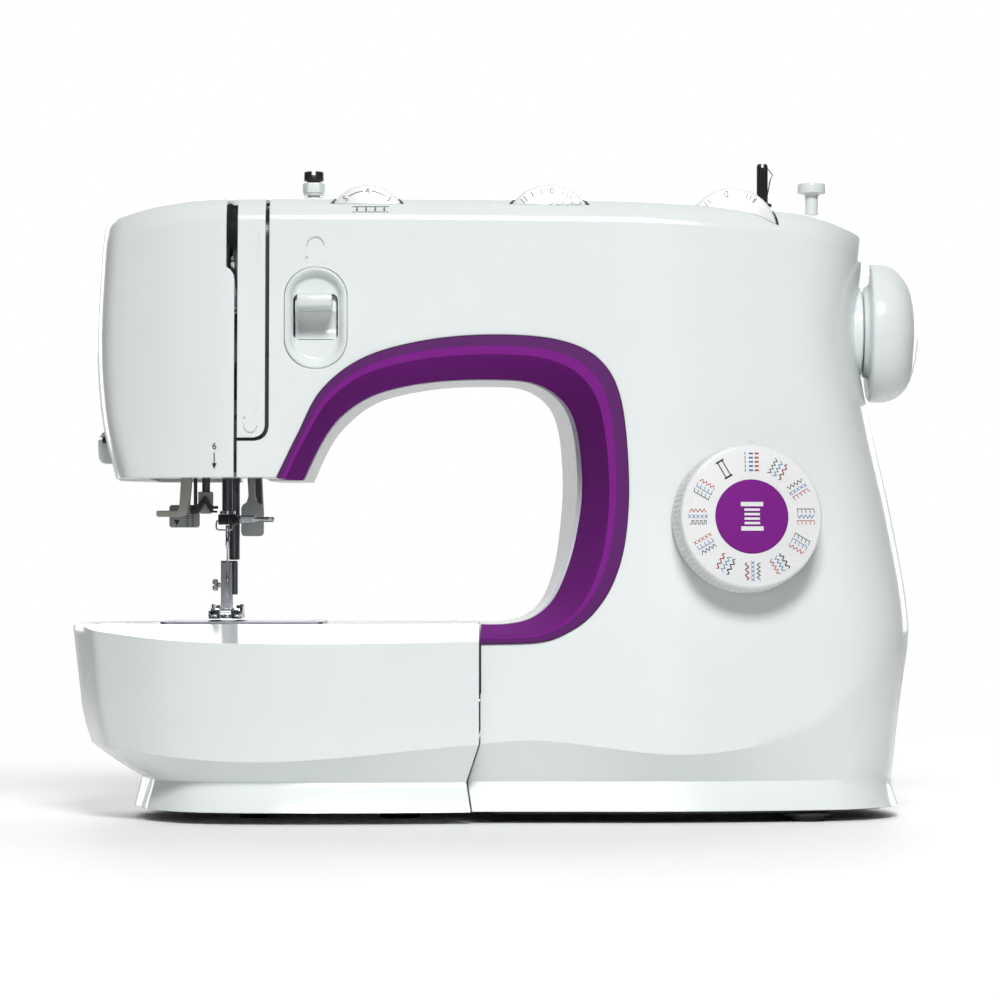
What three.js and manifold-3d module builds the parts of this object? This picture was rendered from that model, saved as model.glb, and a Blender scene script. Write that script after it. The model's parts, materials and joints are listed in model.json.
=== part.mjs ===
// Compact mechanical sewing machine with a free arm and a push-on extension table.
// Millimetres, +Z up. The operator sits on the -Y side, the handwheel is on the +X side,
// and the origin is the middle of the footprint, on the table the machine stands on.
import * as THREE from "three";
import { mergeVertices } from "three/addons/utils/BufferGeometryUtils.js";
import Module from "manifold-3d";

const wasm = await Module();
wasm.setup();

// ---------------------------------------------------------------- driving dimensions
const SPLIT_Y = 5; // plane where the front and rear covers meet
const HALF_GAP = 0.2; // half of the joint between two covers
const WALL = 2.6; // moulded wall thickness
const GAP = 0.35; // gap between two fixed pieces that touch
const BED_Z = 91; // sewing surface
const HEAD_BOTTOM_Z = 158.7;
const BOTTOM_Z = 5.5; // lower rim of the covers
const WAIST_Z = 19; // the drawn-in line just above the base
const FRONT_DEPTH = 58; // split plane to front skin, at the shoulder
const REAR_DEPTH = 57;
const SHOULDER_Z = 280;
const FRONT_LEAN = 0.085; // the skins lean outwards towards the base
const REAR_LEAN = 0.105;
const SHAFT_Z = 229.2;
const NEEDLE_X = -127.5;
const NEEDLE_TIP_Z = 109.3;
const SEAM_X = -7; // table and column meet here
const ARM_LEFT_X = -187; // free end of the free arm
const ARM_FRONT_Y = -32;
const ARM_REAR_Y = 48;
const ARM_UNDER_Z = 38;
const HOOK_Z = 60;
const LOWER_SHAFT = { y: 28, z: 52 };
const MOTOR = { y: 5, z: 60 };
const DRIVE_X = [150, 157]; // belt between motor and main shaft
const TIMING_X = [78, 86]; // belt between the two shafts
const HUB_X = 173.7; // inner face of the handwheel hub
const BIG_PULLEY_R = 35;
const SMALL_PULLEY_R = 5;
const SHAFT_R = 4;
const BAR_R = 2.6; // needle bar and presser bar
const BAR_HOLE_R = 2.9;
const TIMING_R = 14;
const PRESSER = { x: -124.8, y: 15 };
const FAR = 400; // longer than the machine, for cutting tools

// ---------------------------------------------------------------- finishes
const finish = (color, roughness, metalness = 0, extra = {}) =>
  new THREE.MeshStandardMaterial({ color, roughness, metalness, flatShading: true, ...extra });
const FINISH = {
  shell: () => finish(0xe6eaea, 0.28),
  dialWhite: () => finish(0xeceff0, 0.35),
  purple: () => finish(0x64207a, 0.4),
  black: () => finish(0x17191c, 0.5),
  rubber: () => finish(0x1b1b1d, 0.85),
  chrome: () => finish(0xc9ccd0, 0.18, 1),
  steel: () => finish(0x8d9296, 0.35, 1),
  darkSteel: () => finish(0x4a4d52, 0.4, 1),
  cast: () => finish(0x9a9da0, 0.55, 0.9),
  beige: () => finish(0xc9c8c0, 0.45),
  clear: () => finish(0xb9bdbe, 0.3, 0, { transparent: true, opacity: 0.75 }),
};

// ---------------------------------------------------------------- shape helpers
const TAU = Math.PI * 2;
const rad = THREE.MathUtils.degToRad;
const V = (x, y, z) => new THREE.Vector3(x, y, z);
const SWEEP_FRAME = {
  x: new THREE.Matrix4().makeBasis(V(0, 1, 0), V(0, 0, 1), V(1, 0, 0)),
  y: new THREE.Matrix4().makeBasis(V(1, 0, 0), V(0, 0, 1), V(0, 1, 0)),
  z: new THREE.Matrix4(),
};
const TURN_FRAME = {
  x: new THREE.Matrix4().makeBasis(V(0, 1, 0), V(1, 0, 0), V(0, 0, 1)),
  y: new THREE.Matrix4(),
  z: new THREE.Matrix4().makeBasis(V(1, 0, 0), V(0, 0, 1), V(0, 1, 0)),
};

// A closed geometry as a solid: vertices merged, slivers dropped, faces turned outwards.
function toSolid(geometry) {
  const bare = geometry.clone();
  bare.deleteAttribute("normal");
  bare.deleteAttribute("uv");
  const merged = mergeVertices(bare, 1e-4);
  const p = merged.attributes.position.array;
  const source = merged.index.array;
  const kept = [];
  let volume = 0;
  for (let i = 0; i < source.length; i += 3) {
    const [a, b, c] = [source[i], source[i + 1], source[i + 2]];
    if (a === b || b === c || c === a) continue;
    kept.push(a, b, c);
    const [pa, pb, pc] = [a, b, c].map((k) => V(p[3 * k], p[3 * k + 1], p[3 * k + 2]));
    volume += pa.dot(pb.cross(pc));
  }
  if (volume < 0) kept.reverse();
  const mesh = new wasm.Mesh({
    numProp: 3,
    vertProperties: new Float32Array(p),
    triVerts: new Uint32Array(kept),
  });
  return new wasm.Manifold(mesh);
}

function toGeometry(body) {
  const mesh = body.getMesh();
  const geometry = new THREE.BufferGeometry();
  geometry.setAttribute("position", new THREE.BufferAttribute(new Float32Array(mesh.vertProperties), 3));
  geometry.setIndex(new THREE.BufferAttribute(new Uint32Array(mesh.triVerts), 1));
  geometry.computeVertexNormals();
  return geometry;
}

const join = (...parts) => toGeometry(parts.map(toSolid).reduce((a, b) => a.add(b)));
const cut = (body, ...tools) => toGeometry(tools.map(toSolid).reduce((a, b) => a.subtract(b),
  toSolid(body)));
const common = (a, b) => toGeometry(toSolid(a).intersect(toSolid(b)));

// An outline swept along an axis. Outlines are (y, z), (x, z) or (x, y) for x, y and z.
function swept(axis, outline, from, to, holes = []) {
  const shape = new THREE.Shape(outline.map(([u, v]) => new THREE.Vector2(u, v)));
  for (const hole of holes) {
    shape.holes.push(new THREE.Path(hole.map(([u, v]) => new THREE.Vector2(u, v))));
  }
  const geometry = new THREE.ExtrudeGeometry(shape, { depth: to - from, bevelEnabled: false });
  geometry.translate(0, 0, from);
  geometry.applyMatrix4(SWEEP_FRAME[axis]);
  return toGeometry(toSolid(geometry));
}

// A profile of [radius, distance along the axis] turned about an axis through `at`.
function turned(axis, profile, at = [0, 0, 0], sides = 24) {
  const points = profile.map(([r, along]) => new THREE.Vector2(r, along));
  const geometry = new THREE.LatheGeometry(points, sides);
  geometry.applyMatrix4(TURN_FRAME[axis]);
  geometry.translate(...at);
  return toGeometry(toSolid(geometry));
}

const rod = (axis, radius, from, to, at = [0, 0, 0], sides = 24) =>
  turned(axis, [[0, from], [radius, from], [radius, to], [0, to]], at, sides);

function box([x0, x1], [y0, y1], [z0, z1]) {
  const geometry = new THREE.BoxGeometry(x1 - x0, y1 - y0, z1 - z0);
  geometry.translate((x0 + x1) / 2, (y0 + y1) / 2, (z0 + z1) / 2);
  return geometry;
}

// A rectangle with rounded corners, as outline points.
function roundedRect([u0, u1], [v0, v1], radius, steps = 4) {
  const corners = [[u1 - radius, v0 + radius, -90], [u1 - radius, v1 - radius, 0],
    [u0 + radius, v1 - radius, 90], [u0 + radius, v0 + radius, 180]];
  const points = [];
  for (const [cu, cv, start] of corners) {
    for (let i = 0; i <= steps; i += 1) {
      const angle = rad(start + (90 * i) / steps);
      points.push([cu + radius * Math.cos(angle), cv + radius * Math.sin(angle)]);
    }
  }
  return points;
}

// A smooth line through a few knots, as `count` + 1 outline points.
function flowing(knots, count) {
  const curve = new THREE.SplineCurve(knots.map(([u, v]) => new THREE.Vector2(u, v)));
  return curve.getPoints(count).map((p) => [p.x, p.y]);
}

// A smooth function through [t, value] knots.
function through(knots) {
  const slope = knots.map((_, i) => {
    const a = knots[Math.max(i - 1, 0)];
    const b = knots[Math.min(i + 1, knots.length - 1)];
    return (b[1] - a[1]) / (b[0] - a[0]);
  });
  return (t) => {
    if (t <= knots[0][0]) return knots[0][1];
    if (t >= knots[knots.length - 1][0]) return knots[knots.length - 1][1];
    const i = knots.findIndex((k) => k[0] > t) - 1;
    const span = knots[i + 1][0] - knots[i][0];
    const s = (t - knots[i][0]) / span;
    const h = [2 * s ** 3 - 3 * s ** 2 + 1, s ** 3 - 2 * s ** 2 + s, 3 * s ** 2 - 2 * s ** 3,
      s ** 3 - s ** 2];
    return h[0] * knots[i][1] + h[1] * span * slope[i] + h[2] * knots[i + 1][1] + h[3] * span * slope[i + 1];
  };
}

// A closed outline moved outwards by `d` along its corner bisectors (counter-clockwise outlines).
function grown(outline, d) {
  const area = outline.reduce((sum, [u, v], i) => {
    const [u2, v2] = outline[(i + 1) % outline.length];
    return sum + u * v2 - u2 * v;
  }, 0);
  const side = area > 0 ? 1 : -1;
  return outline.map((point, i) => {
    const before = outline[(i + outline.length - 1) % outline.length];
    const after = outline[(i + 1) % outline.length];
    const n1 = new THREE.Vector2(point[1] - before[1], before[0] - point[0]).normalize();
    const n2 = new THREE.Vector2(after[1] - point[1], point[0] - after[0]).normalize();
    const n = n1.clone().add(n2).normalize();
    const reach = (side * d) / Math.max(n.dot(n1), 0.5);
    return [point[0] + n.x * reach, point[1] + n.y * reach];
  });
}

// A closed body from rings of points, one ring after another, with both ends capped.
function ringed(loops, flat) {
  const area = THREE.ShapeUtils.area(loops[0].map((p) => new THREE.Vector2(...flat(p))));
  const rings = area < 0 ? loops.map((loop) => [...loop].reverse()) : loops;
  const count = rings[0].length;
  const caps = THREE.ShapeUtils.triangulateShape(rings[0].map((p) => new THREE.Vector2(...flat(p))), []);
  const index = [];
  for (let r = 0; r + 1 < rings.length; r += 1) {
    for (let i = 0; i < count; i += 1) {
      const j = (i + 1) % count;
      index.push(r * count + i, r * count + j, (r + 1) * count + j);
      index.push(r * count + i, (r + 1) * count + j, (r + 1) * count + i);
    }
  }
  const last = (rings.length - 1) * count;
  for (const [a, b, c] of caps) index.push(c, b, a, last + a, last + b, last + c);
  const geometry = new THREE.BufferGeometry();
  geometry.setAttribute("position", new THREE.BufferAttribute(new Float32Array(rings.flat(2)), 3));
  geometry.setIndex(index);
  return toGeometry(toSolid(geometry));
}

// ---------------------------------------------------------------- the assembly
const group = new THREE.Group();
group.name = "sewing_machine";

function part(name, geometry, material, position = [0, 0, 0], rotation = [0, 0, 0]) {
  const mesh = new THREE.Mesh(geometry, material);
  mesh.name = name;
  mesh.position.set(...position);
  mesh.rotation.set(...rotation);
  group.add(mesh);
}

function placed(geometry, position, rotation = [0, 0, 0]) {
  const turn = new THREE.Matrix4().makeRotationFromEuler(new THREE.Euler(...rotation));
  return geometry.clone().applyMatrix4(turn).translate(...position);
}

// ---------------------------------------------------------------- outer skin
const topZ = through([[-190, 279], [-175, 284.5], [-158, 289], [-129, 292], [56, 291.2], [90, 289.6],
  [140, 286], [156, 282.4], [178, 275]]);
const rightX = through([[0, 193], [16, 187.6], [60, 192], [90, 195.4], [140, 187.4], [187, 176.9],
  [222, 171.2], [256, 173], [292, 177.5]]);
const leftX = through([[158, -178.6], [185, -185.4], [221, -188.2], [264, -186.3], [292, -183.5]]);
const creaseZ = through([[-200, 36], [-110, 28.8], [-10, 36.5], [20, 38.3], [90, 31.8], [140, 42.5],
  [171, 66], [196, 89]]);
const topFade = through([[0, 0.08], [0.4, 0.3], [1.5, 0.58], [3.5, 0.86], [12, 1]]);
const WAIST_STEP = 11; // how far the front skin draws in from the crease to the waist
const FLARE = 7; // and how far it comes out again to the rim
const REAR_CREASE_Z = 33;
const REAR_WAIST_STEP = 8;
const REAR_FLARE = 4;
const FRONT_END_R = 36; // rounding of the right end, front and rear
const REAR_END_R = 45;
const CHEEK = 8.5; // rounding of the front skin's left end
const COLUMN_BEND = { x: 60, ease: 700 }; // the front skin falls back beyond these lines
const HEAD_BEND = { x: -121, ease: 180 };
const endRound = (e, radius) => (1 - Math.min(Math.max(1 - e / radius, 0), 1) ** 2.5) ** 0.4;

function frontDepth(x, z) {
  const crease = creaseZ(x);
  let depth = FRONT_DEPTH + FRONT_LEAN * (SHOULDER_Z - Math.min(Math.max(z, crease), SHOULDER_Z));
  if (x > COLUMN_BEND.x) depth -= (x - COLUMN_BEND.x) ** 2 / COLUMN_BEND.ease;
  if (x < HEAD_BEND.x) depth -= (x - HEAD_BEND.x) ** 2 / HEAD_BEND.ease;
  if (z < crease) depth -= WAIST_STEP * Math.min((crease - z) / (crease - WAIST_Z), 1);
  if (z < WAIST_Z) depth += (FLARE * (WAIST_Z - z)) / (WAIST_Z - BOTTOM_Z);
  const cheek = Math.min(Math.max((x - leftX(z)) / CHEEK, 0), 1) ** 0.6;
  return Math.max(depth * endRound(rightX(z) - x,
    FRONT_END_R) * (0.1 + 0.9 * cheek) * topFade(topZ(x) - z), 1);
}

function rearDepth(x, z) {
  let depth = REAR_DEPTH + REAR_LEAN * (SHOULDER_Z - Math.min(Math.max(z, REAR_CREASE_Z), SHOULDER_Z));
  const belowCrease = (REAR_CREASE_Z - z) / (REAR_CREASE_Z - WAIST_Z);
  if (z < REAR_CREASE_Z) depth -= REAR_WAIST_STEP * Math.min(belowCrease, 1);
  if (z < WAIST_Z) depth += (REAR_FLARE * (WAIST_Z - z)) / (WAIST_Z - BOTTOM_Z);
  const ends = endRound(rightX(z) - x, REAR_END_R) * (0.06 + 0.94 * endRound(x - leftX(z), REAR_END_R));
  return Math.max(depth * ends * topFade(topZ(x) - z), 1);
}

// Grid stations of the skin: distances in from the two ends with plain stations between them.
const STATIONS = [
  ...[0, 1.5, 4.5, 8.5, 20, 38].map((d) => ({ from: "left", d })),
  ...[-125, -100, -50, 0, 60, 90, 115, 132].map((x) => ({ x })),
  ...[30, 19, 11, 5, 1.5, 0].map((d) => ({ from: "right", d })),
];
const RISES = [...[0, 12, WAIST_Z].map((z) => ({ z })), { t: 0 }, { t: 0.2 }, { t: 0.5 }, { t: 0.75 },
  { t: 1 },
  ...[3.5, 1.5, 0.4, 0].map((drop) => ({ drop }))];

// One half of the outer skin as a solid: side is -1 at the front and +1 at the rear.
function skin(side, inset) {
  const depthAt = side < 0 ? frontDepth : rearDepth;
  const riseZ = (rise, x) => {
    const top = topZ(x);
    if (rise.z !== undefined) return rise.z === 0 ? (inset > 0 ? -20 : BOTTOM_Z) : rise.z;
    if (rise.drop !== undefined) return top - inset - rise.drop;
    const low = side < 0 ? creaseZ(x) : REAR_CREASE_Z;
    return low + rise.t * (top - 12 - inset - low);
  };
  const stationX = (s, z) => {
    if (s.from === "left") return leftX(z) + inset + s.d;
    return s.from === "right" ? rightX(z) - inset - s.d : s.x;
  };
  const rows = RISES.map((rise) => STATIONS.map((s) => {
    const guess = riseZ(rise, s.x ?? (s.from === "left" ? -180 : 175));
    const x = stationX(s, guess);
    const z = riseZ(rise, x);
    const depth = depthAt(x + (s.from === "left" ? -inset : s.from === "right" ? inset : 0),
      Math.min(z + (rise.drop === undefined ? 0 : inset), topZ(x)));
    return [x, SPLIT_Y + side * Math.max(depth - inset, 0.5), z];
  }));
  const flatRows = rows.map((row) => row.map(([x, , z]) => [x,
    SPLIT_Y - side * (inset > 0 ? 6 : -HALF_GAP), z]));
  const [nr, nc] = [rows.length, STATIONS.length];
  const id = (layer, r, c) => (layer * nr + r) * nc + c;
  const index = [];
  const quad = (a, b, c, d) => index.push(a, b, c, a, c, d);
  for (let r = 0; r + 1 < nr; r += 1) {
    for (let c = 0; c + 1 < nc; c += 1) {
      quad(id(0, r, c), id(0, r, c + 1), id(0, r + 1, c + 1), id(0, r + 1, c));
      quad(id(1, r, c), id(1, r + 1, c), id(1, r + 1, c + 1), id(1, r, c + 1));
    }
    quad(id(0, r, 0), id(0, r + 1, 0), id(1, r + 1, 0), id(1, r, 0));
    quad(id(0, r, nc - 1), id(1, r, nc - 1), id(1, r + 1, nc - 1), id(0, r + 1, nc - 1));
  }
  for (let c = 0; c + 1 < nc; c += 1) {
    quad(id(0, 0, c), id(1, 0, c), id(1, 0, c + 1), id(0, 0, c + 1));
    quad(id(0, nr - 1, c), id(0, nr - 1, c + 1), id(1, nr - 1, c + 1), id(1, nr - 1, c));
  }
  const geometry = new THREE.BufferGeometry();
  const flat = new Float32Array([...rows, ...flatRows].flat(2));
  geometry.setAttribute("position", new THREE.BufferAttribute(flat, 3));
  geometry.setIndex(index);
  return toGeometry(toSolid(geometry));
}

// ---------------------------------------------------------------- throat and seam outlines
const THROAT_STEPS = 26;
const trimOuter = flowing([[-100.8, HEAD_BOTTOM_Z], [-91, 179], [-80, 199.5], [-60, 214.5], [-30, 222.5],
  [2, 224.7], [30, 222], [48, 213], [57.5, 195], [61, 160], [59.5, 131], [54, 111], [45, 97], [34, 88.5],
  [20, 83.5], [SEAM_X, 82.6]], THROAT_STEPS);
const trimInner = flowing([[-91.5, HEAD_BOTTOM_Z], [-82, 178], [-72, 190.5], [-56, 200], [-30, 205.5],
  [2, 206.6], [20, 204.2], [33, 195], [39, 180], [41, 155], [38.5, 134], [34, 117], [27, 102], [17, 93.5],
  [5, 90.6], [SEAM_X, 90.4]], THROAT_STEPS);
const rearThroat = flowing([[-88, HEAD_BOTTOM_Z], [-80, 176], [-70, 188], [-55, 198], [-30, 203.5],
  [-6, 204.8], [10, 203.8], [21, 197], [26.5, 184], [28.8, 160], [28.4, 139], [26.3, 118], [21, 102],
  [13, 94], [2, 91.2], [SEAM_X, 91]], THROAT_STEPS);
// The space under the arm as a closed outline: a throat line, then the open left side.
const throat = (line, low) => [...line, [SEAM_X, low], [-FAR, low], [-FAR, HEAD_BOTTOM_Z]];
// The seam between the column and the table, with its step in at the waist.
const seam = [[SEAM_X, 120], [SEAM_X, 37], [-12.9, WAIST_Z], [-10.8, BOTTOM_Z], [-10.8, -30], [-FAR, -30],
  [-FAR, 120]].reverse();
const LIP_SHARE = 0.42; // how far the trim's lip lies between its outer and inner edges
const lipLine = trimOuter.map(([x, z], i) => [x + (trimInner[i][0] - x) * LIP_SHARE,
  z + (trimInner[i][1] - z) * LIP_SHARE]);

// A tapering hole between two closed outlines in x and z, at two depths.
function funnel(nearLine, nearY, farLine, farY) {
  const at = (line, y) => line.map(([x, z]) => [x, y, z]);
  return ringed([at(nearLine, nearY), at(farLine, farY)], ([x, , z]) => [x, z]);
}

// ---------------------------------------------------------------- covers
const TOP_DIALS = {
  tension_dial: { at: [-59.6, -44.5, 277], radius: 18.5 },
  width_dial: { at: [24.8, -44.5, 274.5], radius: 21 },
  length_dial: { at: [110.2, -39.5, 273.5], radius: 21 },
};
const DIAL_TILT = rad(-10); // its face looks slightly upwards
const DIAL_HALF = 3;
const BEZEL = { x: [-97.4, -68.8], z: [209.5, 256], window: { x: [-93.7, -73], z: [222.8, 244.1] } };
const PATTERN = { at: [114.4, -61.6, 139.4], turn: [rad(-4.9), 0, rad(8.8)], radius: 34, height: 17.5 };
const HEAD_HOLE = { x: [-163, -108], y: [-30, 56] }; // underside of the head, where the needle comes out
const STRIP = [[-119.25, 330], [-119.25, 177.4], [-111.5, 177.4], [-107.8, 179.2], [-106.4, 183], [-106.4,
  330]];
const HEAD_SIDE = [[-FAR, 140], [-119.25, 140], [-119.25, 175.9], [-111, 175.9], [-106.3, 178], [-104.6,
  182.5],
  [-104.6, 330], [-FAR, 330]];
const FACE_SIDE = [[-FAR, 140], [-120.7, 140], [-120.7, 250.5], [-124.5, 256.5], [-124.5, 330], [-FAR,
  330]];
const HANDLE_BAY = { x: [-62, 54], y: [13, 66], z: [282.5, 330] };
const WINDER_SLOT = box([122, 137], [1.2, 8.8], [270, 300]);
const SHAFT_HOLE = rod("x", 8, 160, 200, [0, SPLIT_Y, SHAFT_Z]);
const SHAFT_CHANNEL = rod("x", 5.2, -60, 70, [0, SPLIT_Y, SHAFT_Z]);
const BASE_CHANNEL = box([-20, 0], [ARM_FRONT_Y + 1.5, 20], [0, 8.7]);
const SPOOL_PINS = { spool_pin_left: 70, spool_pin_right: 100 };
const SPOOL_Y = 30;
const INLET = { x: [172, 190.3], y: [22, 46], z: [42, 62] };
const SWITCH = { y: [24, 44], z: [72, 90] };
const headHole = box(HEAD_HOLE.x, HEAD_HOLE.y, [150, 166]);

function makeFrontCovers() {
  const wallTube = swept("y", grown(throat(trimOuter, 60), GAP + WALL), -FAR, 20);
  const seamWall = swept("y", grown(seam, WALL), -FAR, 20);
  const cavity = cut(skin(-1, WALL), wallTube, seamWall);
  const shell = cut(skin(-1, 0), cavity, swept("y", grown(throat(trimOuter, 60), GAP), -FAR, 20),
    swept("y", seam, -FAR, 20), headHole, WINDER_SLOT, SHAFT_HOLE, SHAFT_CHANNEL, BASE_CHANNEL);
  const dialSlots = Object.values(TOP_DIALS).map((d) =>
    placed(rod("y", d.radius + 0.9, -DIAL_HALF - 3, DIAL_HALF + 1.2, [0, 0, 0], 32), d.at, [DIAL_TILT, 0,
      0]));
  const bezelHole = swept("y", roundedRect([BEZEL.x[0] - GAP, BEZEL.x[1] + GAP],
    [BEZEL.z[0] - GAP, BEZEL.z[1] + GAP], 14, 5), -80, -40);
  const dialShaftHole = placed(rod("y", 6, -20, 30), PATTERN.at, PATTERN.turn);
  const guideHole = rod("z", 3.4, 280, 300, [-85.8, -10, 0], 16);
  part("front_cover", cut(shell, swept("y", HEAD_SIDE, -FAR, 20), bezelHole, dialShaftHole, guideHole,
    ...dialSlots), FINISH.shell());
  part("face_cover", common(shell, swept("y", FACE_SIDE, -FAR, 20)), FINISH.shell());
  part("thread_channel_cover", common(shell, swept("y", STRIP, -FAR, 20)), FINISH.shell());
}

function makeRearCover() {
  const bodyVoid = throat(rearThroat, BED_Z);
  const innerVoid = throat(trimInner, 90.4);
  const throatWall = funnel(grown(innerVoid, WALL), -20, grown(bodyVoid, WALL), 120);
  const bay = box(HANDLE_BAY.x, HANDLE_BAY.y, HANDLE_BAY.z);
  const bayWall = box([HANDLE_BAY.x[0] - WALL, HANDLE_BAY.x[1] + WALL],
    [HANDLE_BAY.y[0] - WALL, HANDLE_BAY.y[1] + WALL], [HANDLE_BAY.z[0] - WALL, 330]);
  const cavity = cut(skin(1, WALL), throatWall, bayWall);
  const pinHoles = Object.values(SPOOL_PINS).map((x) => rod("z", BAR_HOLE_R, 270, 310, [x, SPOOL_Y, 0],
    16));
  const body = cut(skin(1, 0), cavity, funnel(innerVoid, -20, bodyVoid, 120), swept("y", seam, -20, FAR),
    headHole, WINDER_SLOT, SHAFT_HOLE, bay, ...pinHoles);
  const inletHole = box([160, 210], [INLET.y[0] - GAP, INLET.y[1] + GAP], [INLET.z[0] - GAP,
    INLET.z[1] + GAP]);
  const switchHole = box([160, 210], [SWITCH.y[0] - 0.6, SWITCH.y[1] + 0.6],
    [SWITCH.z[0] - 0.6, SWITCH.z[1] + 0.6]);
  const lifterNotch = box([-124, -106], [50, 120], [150, 188]);
  part("rear_cover", cut(body, inletHole, switchHole, lifterNotch), FINISH.shell());
}

function makeTrim() {
  const blank = [...trimOuter, [SEAM_X, 100], [-60, 130], [-80, 150], [-85, HEAD_BOTTOM_Z]];
  const opening = [throat(lipLine, 60), throat(trimInner, 60)];
  const body = common(skin(-1, -1.2), swept("y", blank, -FAR, 20));
  const hollow = cut(common(skin(-1, 1.6), swept("y", grown(blank, -2.2), -FAR, 20)),
    funnel(grown(opening[0], 2.2), -90, grown(opening[1], 2.2), 12));
  part("opening_trim", cut(body, funnel(opening[0], -78, opening[1], SPLIT_Y), hollow), FINISH.purple());
}

// ---------------------------------------------------------------- base, free arm and table
function makeBase() {
  const frontEdge = [158, 140, 110, 70, 35, 0].map((x) => [x, SPLIT_Y - frontDepth(x, 8) + WALL + 1.6]);
  const rearEdge = [0, 60, 120, 142, 156].map((x) => [x, SPLIT_Y + rearDepth(x, 8) - WALL - 1.6]);
  const outline = [[-6, ARM_REAR_Y - 2], [-160, ARM_REAR_Y - 2], [-160, ARM_FRONT_Y + 2],
    [-6, ARM_FRONT_Y + 2], ...frontEdge.reverse(), [180, -22], [184, SPLIT_Y], [180, 34],
      ...rearEdge.reverse()];
  part("base_plate", swept("z", outline, 4.4, 8.2), FINISH.black());
  const foot = (r) => [[0, 0], [r - 1, 0], [r, 2.4], [r + 3, 2.6], [r + 3, 4], [0, 4]];
  const feet = {
    foot_front_left: [7, -113.6, -20],
    foot_front_middle: [10, -45, -18],
    foot_front_right: [9, 144, -46],
    foot_rear_left: [7, -113.6, 35],
    foot_rear_right: [9, 144, 58],
  };
  for (const [name, [r, x, y]] of Object.entries(feet)) {
    part(name, turned("z", foot(r), [0, 0, 0], 14), FINISH.rubber(), [x, y, 0]);
  }
}

const DOOR = { x: [-154, -100], z: [42, 80], thick: 2 };
const DOOR_SWING_GAP = 0.9; // room under the door for its lower edge to swing in
const PLATE = { x: [-157.4, -81], y: [-25, 35], z: [89.6, 92] };
const FEED_SLOTS = [[-136.2, -130.9], [-124.2, -118.9]];

function makeFreeArm() {
  const section = roundedRect([ARM_FRONT_Y, ARM_REAR_Y], [ARM_UNDER_Z, BED_Z], 7, 3);
  const hollow = roundedRect([ARM_FRONT_Y + 2, ARM_REAR_Y - 2.5], [ARM_UNDER_Z + 2.5, BED_Z - 2.5], 5, 3);
  const shell = cut(
    swept("x", section, ARM_LEFT_X, SEAM_X - 1.3),
    swept("x", hollow, ARM_LEFT_X + 2.5, 10),
    box([PLATE.x[0] - GAP, PLATE.x[1] + GAP], [PLATE.y[0] - GAP, PLATE.y[1] + GAP], [PLATE.z[0] - GAP,
      100]),
    box([PLATE.x[0] + 5, PLATE.x[1] - 5], [PLATE.y[0] + 4, PLATE.y[1] - 4], [80, 100]),
    box([DOOR.x[0] - GAP, DOOR.x[1] + GAP], [-60, ARM_FRONT_Y + 6], [DOOR.z[0] - DOOR_SWING_GAP,
      DOOR.z[1] + GAP]),
    box([-53, -30], [40, 60], [52.5, 57.5]),
  );
  part("free_arm_shell", shell, FINISH.shell());
  const slots = FEED_SLOTS.map((x) => box(x, [-14, 24], [80, 100]));
  const needleHole = swept("z", roundedRect([NEEDLE_X - 3.2, NEEDLE_X + 3.2], [SPLIT_Y - 1, SPLIT_Y + 1],
    0.9, 3), 80, 100);
  part("needle_plate", cut(swept("z", roundedRect(PLATE.x, PLATE.y, 3, 3), PLATE.z[0], PLATE.z[1]),
    needleHole, ...slots), FINISH.steel());
  const doorPanel = box(DOOR.x, [ARM_FRONT_Y, ARM_FRONT_Y + DOOR.thick], DOOR.z);
  const fingerDent = rod("y", 7, -40, ARM_FRONT_Y + 1, [-127, 0, DOOR.z[1] - 1], 20);
  part("bobbin_door", cut(doorPanel, fingerDent), FINISH.shell());
}

const TABLE_KNOTS = [[SEAM_X - 0.7, -80], [-60, -86], [-110, -87], [-150, -77.5], [-181, -56], [-190, -44],
  [-198, -20], [-200.4, 2], [-199, 26], [-193, 48], [-172, 66], [-120, 79], [SEAM_X - 0.7, 82]];

function makeTable() {
  const plan = flowing(TABLE_KNOTS, 28);
  // [height, how far front and rear draw in, how far the free end draws in]
  const levels = [[BOTTOM_Z, 4, 29], [WAIST_Z, WAIST_STEP, 32.5], ["crease", 0, 9], [52, -0.6, 4.5],
    [BED_Z, 0, 0]];
  const shrink = ([x, y], front, end) => {
    const toEnd = Math.min(Math.max((-x - 110) / 85, 0), 1) ** 1.6;
    return [x + end * toEnd, y - Math.sign(y) * front * Math.min(Math.abs(y) / 40, 1)];
  };
  const ringsAt = (inset) => levels.map(([height, front, end]) => {
    const outline = [...plan.map((p) => shrink(p, front, end)), [SEAM_X + 30, 82], [SEAM_X + 30, -80]];
    const z = height === "crease" ? null : height;
    const low = z === BOTTOM_Z && inset > 0 ? -5 : z;
    const line = inset > 0 ? grown(outline, -inset) : outline;
    return line.map(([x, y], i) => [x, y, (low ?? creaseZ(outline[i][0])) - (z === BED_Z ? inset : 0)]);
  });
  const slope = (lift) => swept("x", [[ARM_FRONT_Y - 1.5, BED_Z + lift], [-95, 81.6 + lift], [-95, 120],
    [ARM_FRONT_Y - 1.5, 120]], -FAR, FAR);
  const outer = cut(ringed(ringsAt(0), ([x, y]) => [x, y]), slope(0));
  const inner = cut(ringed(ringsAt(WALL), ([x, y]) => [x, y]), slope(-WALL));
  const armBay = box([ARM_LEFT_X - 1.5, 60], [ARM_FRONT_Y - 1.5, ARM_REAR_Y + 1.5], [-10, 100]);
  const rightSide = [[SEAM_X - 0.6, 120], [SEAM_X - 0.6, 37], [-13.5, WAIST_Z], [-11.4, BOTTOM_Z],
    [-11.4, -30], [FAR, -30], [FAR, 120]];
  part("extension_table", cut(outer, inner, armBay, swept("y", rightSide, -FAR, FAR)), FINISH.shell());
}

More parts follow.
